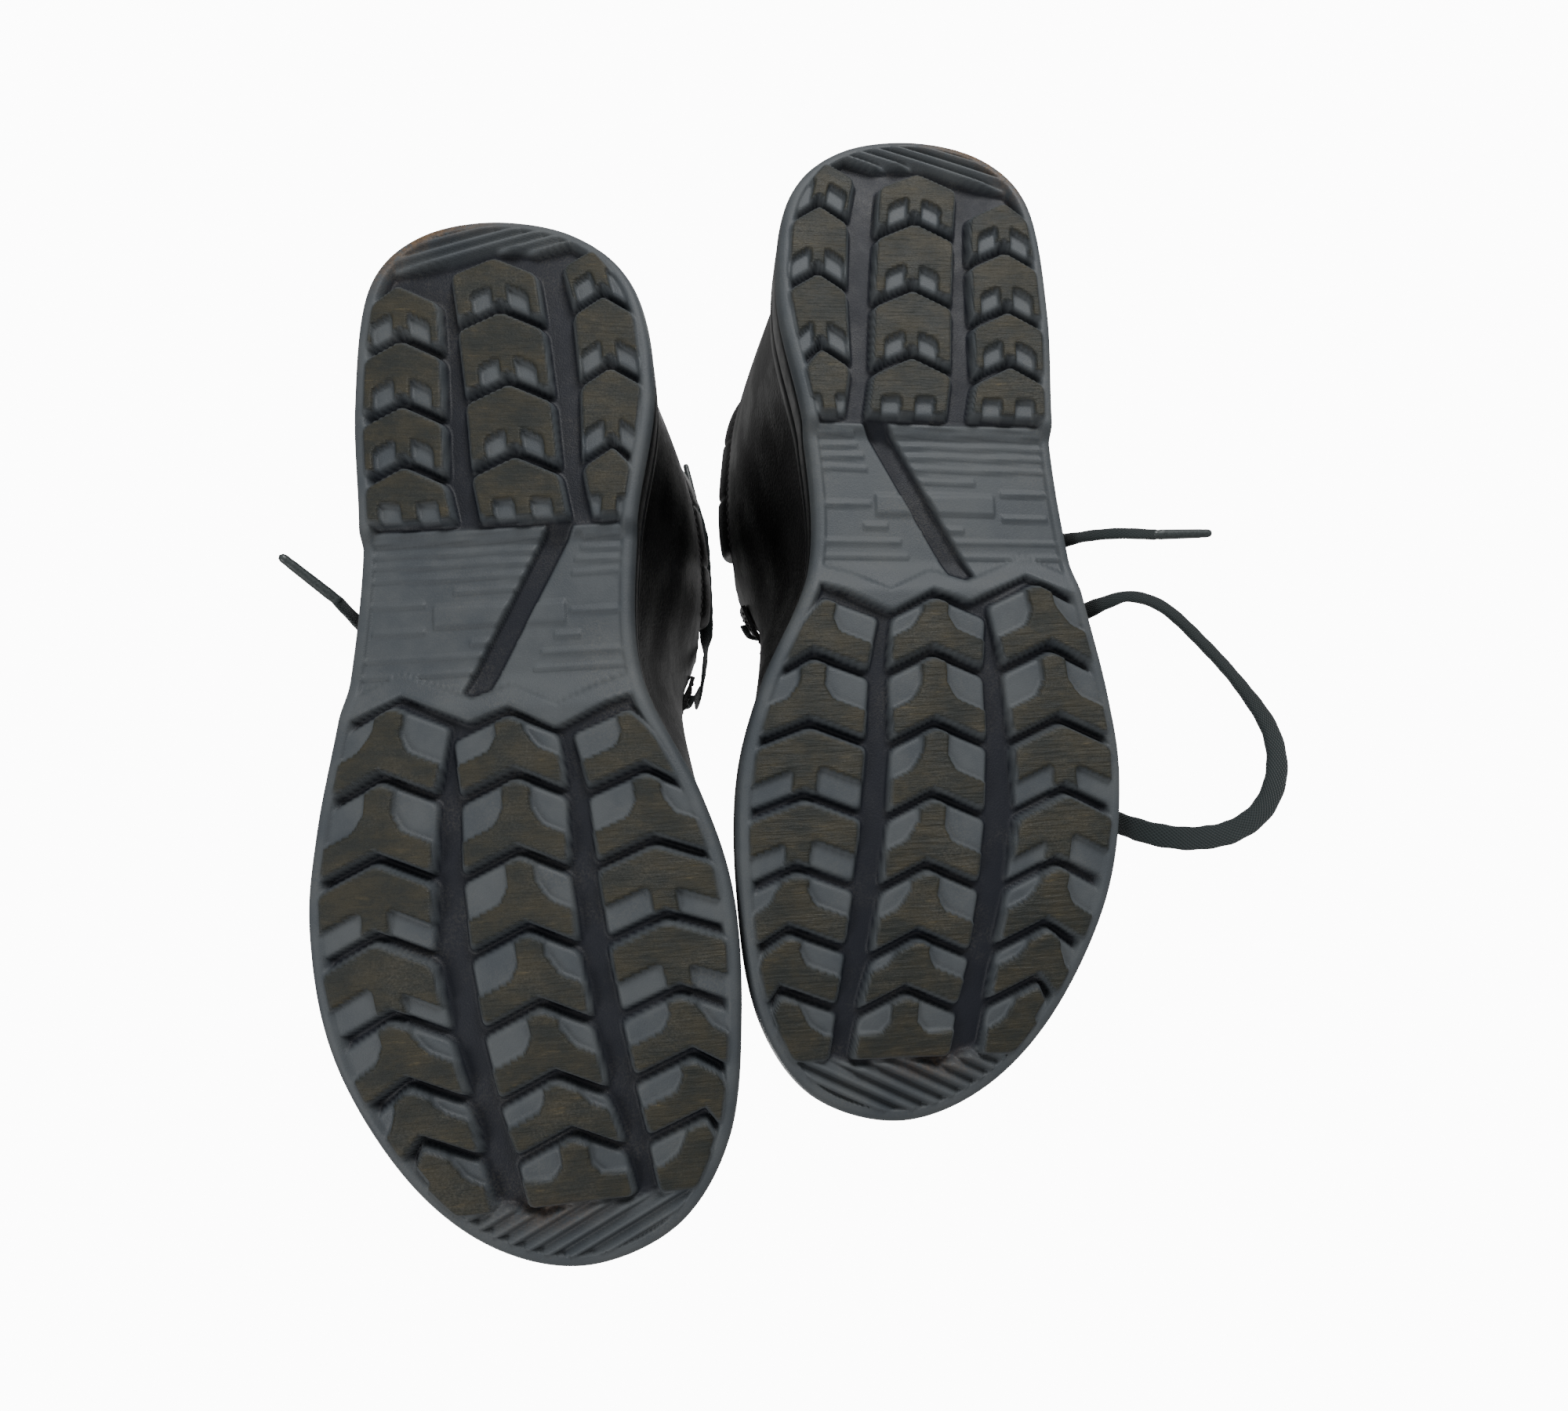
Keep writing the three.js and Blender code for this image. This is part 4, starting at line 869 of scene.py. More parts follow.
def beyond(points, start, end, inside):
    """Distance from a line through two corners, positive on the side away from the point inside."""
    (b0, a0), (b1, a1) = start, end
    n = np.array([a1 - a0, -(b1 - b0)], float)
    n /= np.linalg.norm(n)
    if (inside[0] - b0) * n[0] + (inside[1] - a0) * n[1] > 0:
        n = -n
    return (points[..., 0] - b0) * n[0] + (points[..., 1] - a0) * n[1]


def soft_max(*values, round_by=1.2):
    """Greatest of the values, with a rounded corner where two are nearly equal."""
    most = values[0]
    for value in values[1:]:
        h = np.clip(round_by - np.abs(most - value), 0, None) / round_by
        most = np.maximum(most, value) + h * h * round_by / 4
    return most


def pocket_mask(kind, to_heel, to_toe, off_centre):
    """Share of a lug's face that is a lower ledge: towards the heel, towards the toe, or two small ones."""
    if kind == "heelward":
        stem = 3.9 + 0.8 * np.clip(3.2 - (to_toe - 7.4), 0, None)
        return smooth(-0.45, 0.45, -soft_max(stem - off_centre, 7.4 - to_toe))
    if kind == "toeward":
        return smooth(-0.45, 0.45, -soft_max(3.6 - off_centre, 9.4 - to_heel, round_by=2.4))
    small = soft_max(2.3 - off_centre, off_centre - 8.3, to_toe - 5.4, round_by=1.6)
    return smooth(-0.45, 0.45, -small)


def raise_lug(corners, kind, points, height, face):
    """Raises height and the worn-face share inside one lug: sloping walls, rounded corners, lower ledges."""
    box = np.array(corners)
    near = ((points > box.min(0) - 3) & (points < box.max(0) + 3)).all(-1)
    spots = points[near]
    middle = box.mean(0)
    apex, sh_m, ft_m, notch, ft_l, sh_l = corners
    heelward = soft_max(beyond(spots, apex, sh_m, middle), beyond(spots, apex, sh_l, middle), round_by=1.5)
    inside = ((notch[0] + apex[0]) / 2, (notch[1] + apex[1]) / 2)
    toeward = np.minimum(beyond(spots, ft_m, notch, inside), beyond(spots, notch, ft_l, inside))
    flanks = [beyond(spots, sh_m, ft_m, middle), beyond(spots, sh_l, ft_l, middle)]
    outside = soft_max(heelward, toeward, *flanks, round_by=1.8)
    wall = smooth(-1.25, 0.35, -outside - 0.1)
    off_centre = np.abs(beyond(spots, apex, notch, (apex[0] + 50, apex[1])))
    pocket = pocket_mask(kind, -heelward, -toeward, off_centre)
    raised = LUG_DEPTH * wall - 1.9 * pocket * wall
    height[near] = np.maximum(height[near], raised)
    face[near] = np.maximum(face[near], smooth(0.15, 0.9, -outside) * (1 - smooth(0.05, 0.5, pocket)))


def to_segment(points, start, end):
    """Distance from a straight segment."""
    start, end = np.array(start, float), np.array(end, float)
    way = end - start
    t = np.clip(((points - start) @ way) / (way @ way), 0, 1)
    return np.linalg.norm(points - start - t[..., None] * way, axis=-1)


def edge_distance(points):
    """Distance of each point inwards from the sole's outline, as the least over short straight pieces."""
    stations = np.linspace(0, TOE, 150)
    loop = np.concatenate([outline("lateral", stations), outline("medial", stations)[::-1]])
    flat = points.reshape(-1, 2)
    least = np.full(len(flat), 1e9)
    for start, end in zip(loop[:-1], loop[1:]):
        way = end - start
        if way @ way < 1e-9:
            continue
        t = np.clip(((flat - start) @ way) / (way @ way), 0, 1)
        off = flat - start - t[:, None] * way
        least = np.minimum(least, np.einsum("ij,ij->i", off, off))
    return np.sqrt(least).reshape(points.shape[:-1])


def waist_relief(points):
    """The waist's flat with ridges and a plain raised bar, all cut through by the slanted groove."""
    b, a = points[..., 0], points[..., 1]
    uncut = smooth(2.6, 4.0, to_segment(points, *SLANT))
    relief = WAIST_HEIGHT * uncut
    for along, low, high in WAIST_RIDGES:
        off = to_segment(points, (low, along), (high, along))
        relief = np.maximum(relief, RIDGE_HEIGHT * (1 - smooth(0.35, 1.25, off)) * uncut)
    low, high, start, end = PLAQUE
    off = np.maximum.reduce([low - b, b - high, start - a, a - end])
    return np.maximum(relief, RIM_HEIGHT * (1 - smooth(-1.0, 0.3, off)) * uncut)


def tip_ribs(b, a, inward):
    """Slanted ribs at the two tips: sines of a straight slant of b and a, behind a bent front line."""
    heel_tip = 1 - smooth(-1.0, 1.5, a - np.interp(b, *np.array(HEEL_TIP_LINE).T))
    toe_tip = smooth(-1.0, 1.5, a - np.interp(b, *np.array(TOE_TIP_LINE).T))
    heel_ribs = 2.9 + 1.1 * np.sin(2 * np.pi * (a + 0.36 * b) / 3.9)
    toe_ribs = 2.7 + 1.3 * np.sin(2 * np.pi * (a + 0.5 * b) / 4.6)
    heel = heel_tip * heel_ribs * (1 - 0.2 * smooth(4.5, 2.5, inward))
    return np.maximum(heel, toe_tip * np.where(inward > 4.0, toe_ribs, RIM_HEIGHT))


def spot(value, centre, spread):
    """A bell curve."""
    return np.exp(-(((value - centre) / spread) ** 2))


def tread_relief(points):
    """Height above the groove floor, worn-face share and mud share at each [b, a]."""
    b, a = points[..., 0], points[..., 1]
    height = np.zeros(b.shape)
    face = np.zeros(b.shape)
    inward = edge_distance(points)
    for column in HEEL_COLUMNS:
        for _, corners in lug_corners(column, HEEL_END):
            raise_lug(corners, "heel", points, height, face)
    for flank, column in enumerate(FOREFOOT_COLUMNS):
        for row, corners in lug_corners(column, FOREFOOT_END):
            kind = "toeward" if flank != 1 and row in (2, 3) else "heelward"
            raise_lug(corners, kind, points, height, face)
    height = np.maximum(height, RIM_HEIGHT * (1 - smooth(RIM, 5.6, inward)))
    band = np.min([to_segment(points, p, q) for p, q in zip(ZIGZAG, ZIGZAG[1:])], 0)
    height = np.maximum(height, RIDGE_HEIGHT * (1 - smooth(2.7, 4.2, band)))
    waist = smooth(94.5, 96.5, a) * (1 - smooth(0, 1.6, a - np.interp(b, *zip(*ZIGZAG)) + 4))
    height = np.maximum(height, waist_relief(points) * waist)
    height = np.maximum(height, tip_ribs(b, a, inward))
    mud = spot(b, -22, 16) * spot(inward, 1.0, 3.2) * (1 - smooth(10, 26, a))
    mud += 0.28 * spot(b, 2, 12) * spot(a, 289, 4)
    mud += 0.5 * spot(b, -46, 3) * spot(a, 44, 4)
    return height, face, np.clip(mud, 0, 1), inward


ROWS, ACROSS = 430, 168
WALL = 6
LID = np.linspace(0, 1, 10)[1:-1]


def sole_stations(count):
    """Stations whose rows lie evenly spaced along the sole."""
    fine = np.linspace(0, TOE, 2000)
    a = (outline("lateral", fine)[:, 1] + outline("medial", fine)[:, 1]) / 2
    length = np.append(0, np.cumsum(np.hypot(np.diff(a), 0.12)))
    return np.interp(np.linspace(0, length[-1], count), length, fine)


def outsole_surface():
    """One closed skin: the tread's relief below, walls that swell a little, and the flat top."""
    stations = sole_stations(ROWS)
    lateral, medial = outline("lateral", stations), outline("medial", stations)
    t = np.linspace(0, 1, ACROSS)[None, :, None]
    plan = lateral[:, None] * (1 - t) + medial[:, None] * t
    height, face, mud, inward = tread_relief(plan)
    a = plan[..., 1]
    base = ground(a) + LUG_DEPTH + 3.5 * arch(a)
    shoulder = 2.6
    short = shoulder - np.minimum(inward, shoulder)
    round_off = shoulder - np.sqrt(np.clip(shoulder**2 - short**2, 0, None))
    low = base - height + round_off
    below = np.stack([plan[..., 0], -a, low], -1)
    climb = np.linspace(0, 1, WALL + 1)[1:]

    def wall(edge, flank, foot):
        out = outward(flank, stations)
        swell = 0.35 * np.sin(np.pi * climb)
        at = edge[:, None] + out[:, None] * swell[None, :, None]
        z = mix(foot[:, None], outsole_top(edge[:, 1])[:, None], climb)
        return np.stack([at[..., 0], -at[..., 1], z], -1)

    right = wall(medial, "medial", low[:, -1])
    left = wall(lateral, "lateral", low[:, 0])[:, ::-1]
    t = LID[None, :, None]
    lid_plan = medial[:, None] * (1 - t) + lateral[:, None] * t
    lid = np.stack([lid_plan[..., 0], -lid_plan[..., 1], outsole_top(lid_plan[..., 1])], -1)
    points = np.concatenate([below, right, lid, left], 1)
    wear_shade_and_mud = np.zeros(points.shape)
    wear_shade_and_mud[:, :ACROSS, 0] = face
    # painted shade share: high on the groove floors, none on the raised relief, fading out near the edge
    wear_shade_and_mud[:, :ACROSS, 1] = (1 - smooth(0.3, 2.2, height)) * smooth(2.0, 5.0, inward)
    wear_shade_and_mud[:, :ACROSS, 2] = mud
    return points, wear_shade_and_mud


def outsoles():
    points, wear_shade_and_mud = outsole_surface()
    for side in SIDES:
        ring_piece(side + "_tread", side, points, TREAD, side + "_boot", "tread", [side + "_outsole"],
                   extra={"tread": wear_shade_and_mud})


outsoles()

# ---------------------------------------------------------------- slabs under the foot


SLAB_ROWS = 220


def slab(profile, low, high):
    """Rows from heel to toe; each row goes round a profile of (inset, level share) on both flanks."""
    stations = sole_stations(SLAB_ROWS)
    inset, share = np.array(profile, float).T
    sides = []
    for flank in FLANKS:
        plan = np.stack([edge_points(flank, stations, np.full(SLAB_ROWS, i)) for i in inset], 1)
        z = mix(low(plan[..., 1]), high(plan[..., 1]), share)
        sides.append(np.stack([plan[..., 0], -plan[..., 1], z], -1))
    lateral, medial = sides
    t = LID[:, None]

    def across(start, end, level):
        line = start[:, None] * (1 - t) + end[:, None] * t
        line[..., 2] = level(-line[..., 1])
        return line

    top = across(lateral[:, -1], medial[:, -1], high)
    bottom = across(medial[:, 0], lateral[:, 0], low)
    return np.concatenate([lateral, top, medial[:, ::-1], bottom], 1)


# inset from the outline and share of the height, from the foot of the wall to its top
SOLE_EDGE = [(1.2, 0), (0.2, 0.02), (-0.2, 0.08), (-0.35, 0.2), (-0.4, 0.46), (-0.38, 0.5), (0.15, 0.52),
             (0.15, 0.56), (-0.38, 0.58), (-0.4, 0.8), (-0.3, 0.92), (0.1, 0.98), (0.9, 1.0), (2.2, 1.0)]
FOOTBED_EDGE = [(14.4, 0), (13.5, 0.06), (13.4, 0.3), (13.4, 0.72), (13.8, 0.9), (15.0, 1.0), (19.0, 0.86),
                (26.0, 0.8)]


def midsoles():
    points = slab(SOLE_EDGE, lambda a: outsole_top(a) + 0.6, feather)
    for side in SIDES:
        ring_piece(side + "_sole_edge", side, points, EDGE, side + "_boot", "midsole", [side + "_midsole"])


def footbeds():
    """A foam footbed under cloth, its rim standing a little above its middle."""
    points = slab(FOOTBED_EDGE, lambda a: feather(a) + 4.4, lambda a: feather(a) + 8.9)
    lie = points * (1, 1, 0)
    for side in SIDES:
        ring_piece(side + "_foam_footbed", side, points, LINING, side + "_footbed", "textile",
                   [side + "_footbed"], lie)


midsoles()
footbeds()

# ---------------------------------------------------------------- panels of the upper

PITCH = TOE / 20
COUNTER_END = 3 * PITCH
COLLAR_END = 4.3
FACING_START = 8 * PITCH
COLLAR_FOOT = 0.84
SEAM = 0.02


def seam_station(v):
    """Vamp seam: its station climbs from the sole to the throat."""
    return mix(6.2, THROAT, np.asarray(v, float) ** 0.7)


def leather_top(station):
    return mix(COLLAR_FOOT, 1.0, smooth(FACING_START, FACING_START + PITCH, station))


def place(signed, v, depth):
    """Skin point at a station that is negative on the lateral flank and positive on the medial one."""
    signed, v, depth = (np.array(x, float) for x in np.broadcast_arrays(signed, v, depth))
    lateral = skin("lateral", np.abs(signed), v, depth)
    return np.where((signed < 0)[..., None], lateral, skin("medial", np.abs(signed), v, depth))


def creases(station, v):
    """Inward folds in mm: across the vamp where the toes bend, and slanting below the ankle."""
    flex = np.exp(-(((station - 8.6) / 0.42) ** 2)) * smooth(0.35, 0.8, v)
    wave = 0.5 + 0.5 * np.sin(station * 14 + 1.2 * np.sin(v * 5))
    ankle = np.exp(-(((station - 4.4) / 1.1) ** 2)) * smooth(0.1, 0.35, v) * (1 - smooth(0.62, 0.8, v))
    ripple = 0.5 + 0.5 * np.sin(v * 26 + station * 2.6 + np.sin(station * 3.1))
    soft = 0.5 + 0.5 * np.sin(station * 2.2 + 4 * v) * np.cos(station * 1.3 - 3 * v)
    return -0.75 * flex * wave - 0.5 * ankle * ripple - 0.3 * soft


PANEL_ROUNDING = 0.45 * MM


def panel(name, side, signed, levels, depths, finish, slot, replaces, worn=0.0):
    """A closed sheet between two depths over grids of signed stations and levels."""
    deep, shallow = depths
    relief = worn * creases(np.abs(signed), levels)
    points, faces = shell(place(signed, levels, shallow + relief), place(signed, levels, deep))
    spread = np.concatenate([np.stack([signed * 28, levels * 95, 0 * signed], -1).reshape(-1, 3)] * 2)
    piece = make_piece(name, side, points, faces, finish, side + "_boot", slot, replaces, spread)
    crisp(piece, PANEL_ROUNDING)


def heel_grid(reach, low, high, across=120, up=40):
    """Signed stations either side of the heel centre, levels up to a share of the leather's top."""
    signed = np.linspace(-reach, reach, across)[:, None] + np.zeros((1, up))
    return signed, np.linspace(low, high, up)[None, :] * leather_top(np.abs(signed))


def side_grid(flank, start, gap, low=0.0, high=1.0, across=110, up=44):
    """From a station to the vamp seam: the columns swing over to the seam's slant."""
    v = np.linspace(low, high, up)[None, :]
    t = np.linspace(0, 1, across)[:, None]
    station = start + t * (seam_station(v) - gap - start)
    sign = -1 if flank == "lateral" else 1
    return sign * station, v * leather_top(station)


VAMP_ROWS, VAMP_ACROSS = 110, 87


def vamp_surface(gap, depth, worn=0.0):
    """From the vamp seam to the toe centre, up one flank, over the ridge and down the other."""
    u = np.linspace(0, 2, VAMP_ACROSS)[None, :]
    v = np.where(u <= 1, u, 2 - u)
    t = np.linspace(0, 1, VAMP_ROWS)[:, None]
    first = seam_station(v) + gap
    station = first + t * (TOE - first)
    v = v + 0 * station
    depth = depth + worn * creases(station, v)
    lateral, medial = skin("lateral", station, v, depth), skin("medial", station, v, depth)
    lie = np.stack([station * 28, u * 95 + 0 * station, 0 * station], -1)
    return np.where((u <= 1)[..., None], lateral, medial), lie


def vamp_piece(name, side, gap, depths, finish, slot, replaces, worn=0.0):
    outer, lie = vamp_surface(gap, depths[1], worn=worn)
    inner, _ = vamp_surface(gap, depths[0])
    points, faces = shell(outer, inner)
    lie = np.concatenate([lie.reshape(-1, 3)] * 2)
    crisp(make_piece(name, side, points, faces, finish, side + "_boot", slot, replaces, lie), PANEL_ROUNDING)


HIDE_DEPTHS = (-LEATHER, 0.0)
LINING_DEPTHS = (-LEATHER - 2 * GAP - LINING_THICKNESS, -LEATHER - 2 * GAP)
TOE_LINING_DEPTHS = (-7.4, -6.0)


def upper_panels():
    for side in SIDES:
        vamp_piece(side + "_vamp_hide", side, SEAM, HIDE_DEPTHS, UPPER, "leather", [side + "_vamp"], 1.0)
        vamp_piece(side + "_toe_cloth", side, 2 * SEAM, TOE_LINING_DEPTHS, LINING, "textile",
                   [side + "_toe_lining"])
        for flank in FLANKS:
            panel(f"{side}_quarter_hide_{flank}", side, *side_grid(flank, COUNTER_END + SEAM, SEAM),
                  HIDE_DEPTHS, UPPER, "leather", [f"{side}_quarter_{flank}"], 1.0)
            panel(f"{side}_front_cloth_{flank}", side, *side_grid(flank, FACING_START + 2 * SEAM, 2 * SEAM),
                  LINING_DEPTHS, LINING, "textile", [f"{side}_front_lining_{flank}"])
        panel(side + "_counter_hide", side, *heel_grid(COUNTER_END, 0, 1), HIDE_DEPTHS, UPPER, "leather",
              [side + "_heel_counter"], 0.4)
        panel(side + "_backstay_hide", side, *heel_grid(0.42, 0.12, 0.96, 40, 60), (GAP, GAP + OVERLAY),
              SOFT_HIDE, "leather", [side + "_backstay"])
        panel(side + "_heel_cloth", side, *heel_grid(FACING_START, 0, 1, 240), LINING_DEPTHS, LINING,
              "textile", [side + "_heel_lining"])


def collars():
    """A padded roll round the collar: a ring of depth and level, drawn in at its quilting seams."""
    signed = np.linspace(-COLLAR_END, COLLAR_END, 420)[:, None]
    angle = np.linspace(0, 2 * np.pi, 36, endpoint=False)[None, :]
    seams = np.exp(-(((np.abs(signed) / 0.86 + 0.5) % 1 - 0.5) / 0.045) ** 2)
    ends = np.sqrt(np.clip(1 - np.clip((np.abs(signed) - COLLAR_END + 0.16) / 0.16, 0, 1) ** 2, 0, 1))
    channels = 0.05 * np.cos(3 * angle) ** 2
    fullness = (1 - 0.2 * seams - channels) * ends
    level = 0.92 - 0.08 * np.cos(angle) * ends
    rings = place(signed, level, -2.2 + 5.0 * np.sin(angle) * fullness)
    lie = np.stack([signed * 28 + 0 * angle, angle * 5 + 0 * signed, 0 * signed * angle], -1)
    for side in SIDES:
        roll = ring_piece(side + "_collar_roll", side, rings, SOFT_HIDE, side + "_boot", "textile",
                          [side + "_collar"], lie)


upper_panels()
collars()

# ---------------------------------------------------------------- tongue

TONGUE_DEPTH = -8.4
TONGUE_THICKNESS = 6.0
TONGUE_ROWS, TONGUE_COLUMNS = 90, 49
TONGUE_HEAD = 28  # mm beyond the facings


def bezier(a, heading_a, b, heading_b, pull, t):
    """Cubic curve from a to b that leaves each end along its heading."""
    reach = pull * np.linalg.norm(b - a, axis=-1, keepdims=True)
    one, two = a + heading_a * reach, b + heading_b * reach
    return a * (1 - t) ** 3 + one * 3 * t * (1 - t) ** 2 + two * 3 * t**2 * (1 - t) + b * t**3


def tongue_sheet():
    """Lines across under the facings, then a head that goes on along the climb and narrows."""
    station = np.linspace(7.8, 5.1, TONGUE_ROWS)
    ends = {}
    for flank in FLANKS:
        edge = skin(flank, station, 0.93, TONGUE_DEPTH)
        heading = edge - skin(flank, station, 0.89, TONGUE_DEPTH)
        ends[flank] = edge, heading / np.linalg.norm(heading, axis=-1, keepdims=True)
    t = np.linspace(0, 1, TONGUE_COLUMNS)[None, :, None]
    (a, ha), (b, hb) = ((x[:, None] for x in ends[flank]) for flank in FLANKS)
    laced = bezier(a, ha, b, hb, 0.3, t)
    centre = TONGUE_COLUMNS // 2
    top, middle = laced[-1], laced[-1, centre]
    climb = middle - laced[-13, centre]
    climb /= np.linalg.norm(climb)
    share = np.linspace(0, 1, 30)[1:, None, None]
    head = top + climb * TONGUE_HEAD * share
    head = head + (middle + climb * TONGUE_HEAD * share - head) * (0.12 * share)
    return np.concatenate([laced, head])


def tongues():
    """The sheet thickened outwards into pads: full between the sewn channels and thin at the rim."""
    sheet = tongue_sheet()
    along, across = np.gradient(sheet, axis=0), np.gradient(sheet, axis=1)
    normal = np.cross(along, across)
    normal /= np.linalg.norm(normal, axis=-1, keepdims=True)
    rows, columns = sheet.shape[:2]
    x = np.linspace(0, 1, columns)[None, :]
    y = np.linspace(0, 1, rows)[:, None]
    rim = np.sqrt(np.clip(1 - (np.clip(np.abs(2 * x - 1) - 0.86, 0, 1) / 0.14) ** 2, 0, 1))
    rim = rim * np.sqrt(np.clip(1 - (np.clip(y - 0.95, 0, 1) / 0.05) ** 2, 0, 1)) * smooth(0, 0.03, y)
    channels = sum(np.exp(-(((x - c) / 0.012) ** 2)) for c in (0.2, 0.8)) * (y < 0.8)
    channels = channels + sum(np.exp(-(((y - c) / 0.008) ** 2)) for c in (0.8, 0.885))
    thick = TONGUE_THICKNESS * (0.3 + 0.7 * rim) * (1 - 0.34 * np.clip(channels, 0, 1))
    points, faces = shell(sheet + normal * thick[..., None], sheet + normal * (1.2 * (1 - rim))[..., None])
    lie = np.concatenate([np.stack([x * 80 + 0 * y, y * 110 + 0 * x, 0 * x * y], -1).reshape(-1, 3)] * 2)
    for side in SIDES:
        pad = make_piece(side + "_tongue_pad", side, points, faces, TONGUE_CLOTH, side + "_tongue", "textile",
                         [side + "_tongue"], lie)
        crisp(pad, 0.5 * MM)


tongues()

# ---------------------------------------------------------------- facings, eyelets and lacing

FACING_LIFT = 2 * GAP
EYELET_STATIONS = [7.4, 6.95, 6.43, 5.9, 5.35]
# distance from the axis and height above the facing, once round a pressed eyelet with a sunk middle
EYELET_PROFILE = [(0, -0.25), (2.0, -0.25), (2.15, 0.5), (2.5, 1.0), (3.1, 1.2), (3.7, 1.0), (4.15, 0.35),
                  (4.2, -0.3), (0, -0.5)]


def facing_point(flank, station, depth):
    """Middle of the facing strip, halfway between its two edges."""
    inner, edge = (skin(flank, np.float64(station), np.float64(v), np.float64(depth)) for v in (0.8, 1.0))
    return (inner + edge) / 2


def facing_axes(flank, station):
    """Unit vectors out of the facing and across it towards the throat."""
    out = facing_point(flank, station, 4.0) - facing_point(flank, station, 0.0)
    inner, edge = (skin(flank, np.float64(station), np.float64(v), np.float64(0)) for v in (0.8, 1.0))
    return out / np.linalg.norm(out), (edge - inner) / np.linalg.norm(edge - inner)


def eyelets():
    """Five turned rings on each facing: the profile's distance goes round the axis by cosine and sine."""
    radius, height = np.array(EYELET_PROFILE).T
    angle = np.linspace(0, 2 * np.pi, 28, endpoint=False)[None, :, None]
    rings = []
    for flank in FLANKS:
        for station in EYELET_STATIONS:
            out, way = facing_axes(flank, station)
            way = way - out * (way @ out)
            way /= np.linalg.norm(way)
            cross = np.cross(out, way)
            centre = facing_point(flank, station, FACING_LIFT + OVERLAY)
            spoke = way * np.cos(angle) + cross * np.sin(angle)
            rings.append(centre + spoke * radius[:, None, None] + out * height[:, None, None])
    return joined(rings)


def joined(grids):
    """Points and faces of several tubes of rings as one."""
    points, faces, start = [], [], 0
    for grid in grids:
        points.append(grid.reshape(-1, 3))
        faces.append(grid_faces(*grid.shape[:2], wrapped=True) + start)
        start += len(points[-1])
    return np.concatenate(points), np.concatenate(faces)


def strand(flank_a, row_a, flank_b, row_b, lift):
    """A laced strand: up out of one eyelet, over the tongue by a cubic curve, and down into the other."""
    stations = EYELET_STATIONS[row_a], EYELET_STATIONS[row_b]
    (na, ha), (nb, hb) = (facing_axes(f, s) for f, s in zip((flank_a, flank_b), stations))
    a, b = (facing_point(f, s, 5.3) for f, s in zip((flank_a, flank_b), stations))
    t = np.linspace(0, 1, 26)[:, None]
    middle = bezier(a + ha * 2, ha, b + hb * 2, hb, 0.33, t)
    over = na * (1 - t) + nb * t
    middle = middle + over * lift * np.sin(np.pi * t) ** 2
    start = np.stack([a - na * 4.1, a - na * 2.4 + ha * 0.1, a - na * 0.7 + ha * 0.7])
    end = np.stack([b - nb * 0.7 + hb * 0.7, b - nb * 2.4 + hb * 0.1, b - nb * 4.1])
    path = np.concatenate([start, middle, end])
    faces = np.concatenate([[-ha, -ha, na - ha], over, [nb - hb, -hb, -hb]])
    width = np.ones(len(path))
    width[:3] = width[-3:][::-1] = 0.5, 0.56, 0.72
    width[3], width[-4] = 0.9, 0.9
    return path, faces, width


def lacing(side):
    """The straight bottom strand and the crossings above it; every second strand passes over."""
    section = rounded_flat(LACE_WIDTH, LACE_THICKNESS)
    runs = [("lateral", 0, "medial", 0, 0.2)]
    for row in range(len(EYELET_STATIONS) - 1):
        runs += [("lateral", row, "medial", row + 1, 0.0), ("medial", row, "lateral", row + 1, 2.0)]
    grids, lies = [], []
    for run in runs:
        path, faces, width = strand(*run)
        path, lengths, faces, width = resampled(path, 1.3, faces, width[:, None])
        sections = np.repeat(section[None], len(path), 0)
        sections[..., 0] *= width
        grids.append(capped(ribbon(path, faces, sections)))
        lies.append(lace_lie(lengths, section).reshape(-1, 3))
    points, quads = joined(grids)
    make_piece(side + "_lacing_braid", side, points, quads, LACE, side + "_boot", "lace",
               [side + "_lacing"], np.concatenate(lies))


def throats():
    for side in SIDES:
        for flank in FLANKS:
            signed, _ = side_grid(flank, 5.02, SEAM, 0.8, 1.0, 90, 14)
            levels = np.linspace(0.8, 1.0, 14)[None, :] + 0 * signed
            panel(f"{side}_facing_{flank}", side, signed, levels, (FACING_LIFT, FACING_LIFT + OVERLAY),
                  SOFT_HIDE, "leather", [f"{side}_eyelet_facing_{flank}"])
        points, faces = eyelets()
        make_piece(side + "_eyelet_rings", side, points, faces, EYELET, side + "_boot", "eyelet",
                   [f"{side}_eyelet_facing_{flank}" for flank in FLANKS])
        lacing(side)


throats()

# ---------------------------------------------------------------- pull loop and stitches


PULL_WIDTH = 16.0
PULL_THICKNESS = 1.6
PULL_TOP = 169.4
PULL_BEND = 6.0


def pull_loops():
    """Webbing folded over the heel's top edge: up outside, over in a half round and down inside."""
    outer = place(np.float64(0), np.float64(0.8), np.float64(5.6))
    inner = place(np.float64(0), np.float64(0.82), np.float64(-9.5))
    x, top, bend = outer[0], PULL_TOP, PULL_BEND
    path = np.array([outer, (x, outer[1], top - bend), (x, outer[1] - bend / 2, top - bend * 0.3),
                     (x, (outer[1] + inner[1]) / 2, top), (x, inner[1] + bend / 2, top - bend * 0.3),
                     (x, inner[1], top - bend), (x, inner[1], inner[2])])
    centre = np.array((x, (outer[1] + inner[1]) / 2, top - 2 * bend))
    faces = (path - centre) * (0, 1, 1)
    faces /= np.linalg.norm(faces, axis=1, keepdims=True)
    path, lengths, faces = resampled(path, 0.8, faces)
    section = rounded_flat(PULL_WIDTH, PULL_THICKNESS, 24)
    rings = capped(ribbon(path, faces, np.repeat(section[None], len(path), 0)))
    lie = lace_lie(lengths, section)
    for side in SIDES:
        ring_piece(side + "_pull_webbing", side, rings, WEBBING, side + "_boot", "textile",
                   [side + "_pull_loop"], lie)


